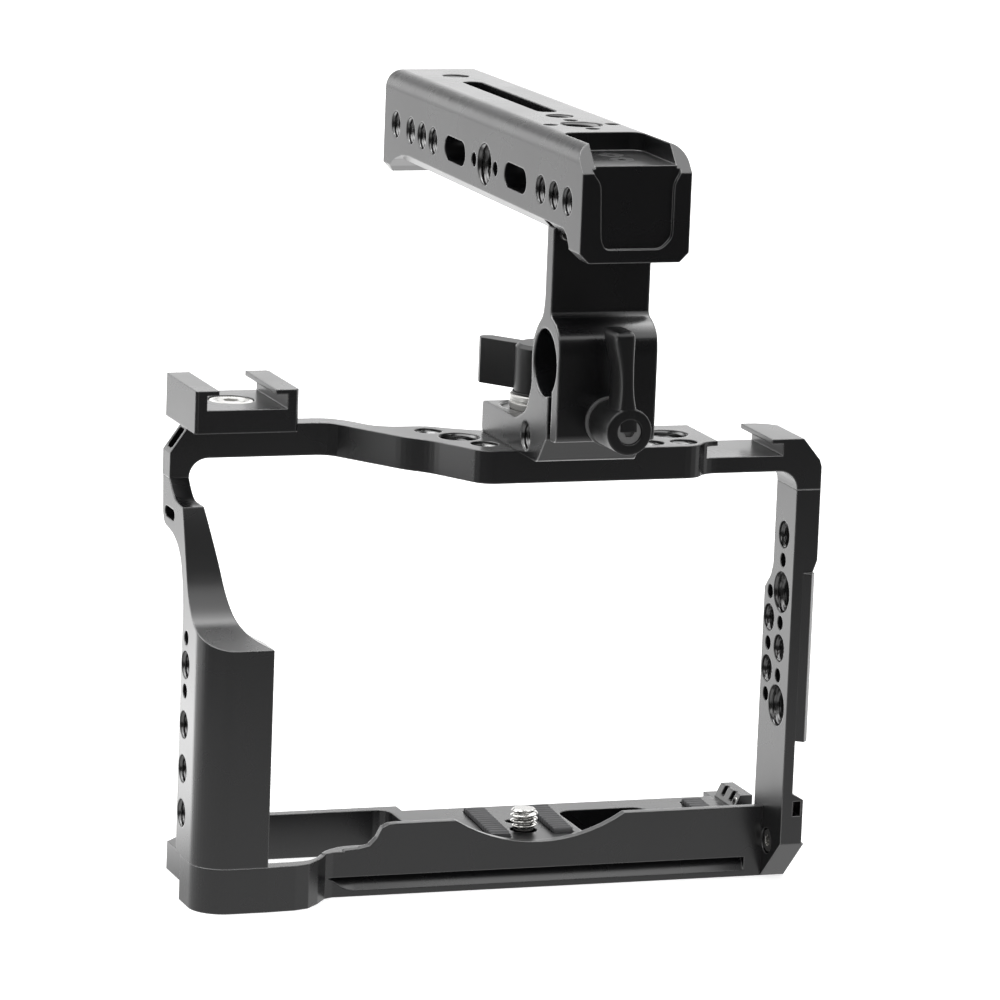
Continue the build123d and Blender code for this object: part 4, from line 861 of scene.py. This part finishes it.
def lay_floor(room):
    """Flat round floor: radius and angle are the two parameters."""
    radius, angle = np.linspace(0.01, FLOOR_RADIUS, 6)[:, None], circle(64)
    z = CAD_BOX[0][2] - FLOOR_DROP
    disc = np.stack([radius * np.cos(angle), radius * np.sin(angle), z + 0 * radius * angle], -1)
    points, quads, (middle, _) = shell(disc)
    mesh = bpy.data.meshes.new("floor")
    mesh.from_pydata(points.tolist(), [], quads.tolist() + [middle.tolist()])
    mesh.materials.append(floor_material(room))
    floor = bpy.data.objects.new("floor", mesh)
    bpy.context.scene.collection.objects.link(floor)


def light_room(scene, room):
    """Room light by direction: a bright backdrop up to some 15 degrees behind, a dimmer band over it, soft
    light from overhead with a brighter strip, and a dim front; plain white to the camera and even to
    everything but gloss."""
    world = bpy.data.worlds.new("studio")
    scene.world = world
    world.use_nodes = True
    tree = world.node_tree
    x, y, z = split_place(tree, "Generated")
    drop = times(tree, times(tree, ramp(tree, y, -0.1, 0.75, 0, 1), ramp(tree, z, 0.2, 0.36, 1, 0)),
                 room.backdrop)
    over = times(tree, ramp(tree, z, 0.42, 0.55, 0, room.overhead), ramp(tree, y, -0.65, 0.05, 0.7, 1))
    from_strip = maths(tree, "ABSOLUTE", maths(tree, "SUBTRACT", y, 0.2))
    strip = times(tree, ramp(tree, z, 0.78, 0.86, 0, room.overhead), ramp(tree, from_strip, 0.12, 0.2, 1, 0))
    right = ramp(tree, x, 0.6, 0.95, 0, 0.5)
    glossy = plus(tree, plus(tree, drop, plus(tree, over, strip)), plus(tree, right, room.dim))
    path = tree.nodes.new("ShaderNodeLightPath")
    even = times(tree, maths(tree, "SUBTRACT", 1.0, path.outputs["Is Glossy Ray"]), WORLD_FILL)
    level = plus(tree, times(tree, glossy, path.outputs["Is Glossy Ray"]), even)
    back = tree.nodes["Background"]
    tree.links.new(maths(tree, "MAXIMUM", level, path.outputs["Is Camera Ray"]), back.inputs["Strength"])
    back.inputs["Color"].default_value = (1, 1, 1, 1)


def hang_lamps(scene):
    """Square softboxes turned to the cage."""
    for name, place, size, power in LAMPS:
        data = bpy.data.lights.new(name, "AREA")
        data.size, data.energy = size, power
        lamp = bpy.data.objects.new(name, data)
        scene.collection.objects.link(lamp)
        lamp.location = place
        lamp.rotation_euler = (Vector(LAMP_AIM) - lamp.location).to_track_quat("-Z", "Y").to_euler()


def set_camera(scene):
    """Camera from its place, its forward and its right direction."""
    data = bpy.data.cameras.new("camera")
    data.lens, data.sensor_width = LENS, SENSOR
    data.clip_start, data.clip_end = CLIP
    camera = bpy.data.objects.new("camera", data)
    scene.collection.objects.link(camera)
    forward, right = Vector(CAMERA_FORWARD).normalized(), Vector(CAMERA_RIGHT).normalized()
    turn = Matrix((right, right.cross(forward), -forward)).transposed().to_4x4()
    x, y, z = CAMERA_PLACE
    camera.matrix_world = Matrix.Translation(Vector((x, y, z - REST)) * MM) @ turn
    scene.camera = camera


# ---------------------------------------------------------------- panel and registration
OPERATORS = (CAGE_OT_finish_frame, CAGE_OT_finish_small_parts, CAGE_OT_make_pads,
             CAGE_OT_make_camera_screw, CAGE_OT_make_shoe_screw, CAGE_OT_make_hole_threads,
             CAGE_OT_make_thumb_screw, CAGE_OT_make_clamp_lever, CAGE_OT_set_stage)


class CAGE_PT_panel(bpy.types.Panel):
    """Lists the steps that dress the cage"""
    bl_idname = "CAGE_PT_panel"
    bl_label = "Camera cage"
    bl_space_type = "VIEW_3D"
    bl_region_type = "UI"
    bl_category = "Camera cage"

    def draw(self, context):
        for settings in (context.scene.cage, context.scene.cage_stage):
            for label in settings.bl_rna.properties.keys():
                if label not in ("rna_type", "name"):
                    self.layout.prop(settings, label)
        for step in OPERATORS:
            self.layout.operator(step.bl_idname)


CLASSES = (CageSettings, StageSettings, *OPERATORS, CAGE_PT_panel)


def register():
    for cls in CLASSES:
        bpy.utils.register_class(cls)
    bpy.types.Scene.cage = PointerProperty(type=CageSettings)
    bpy.types.Scene.cage_stage = PointerProperty(type=StageSettings)


def unregister():
    del bpy.types.Scene.cage_stage
    del bpy.types.Scene.cage
    for cls in reversed(CLASSES):
        bpy.utils.unregister_class(cls)


def main():
    register()
    for step in OPERATORS:
        group, name = step.bl_idname.split(".")
        getattr(getattr(bpy.ops, group), name)()


if __name__ == "__main__":
    main()
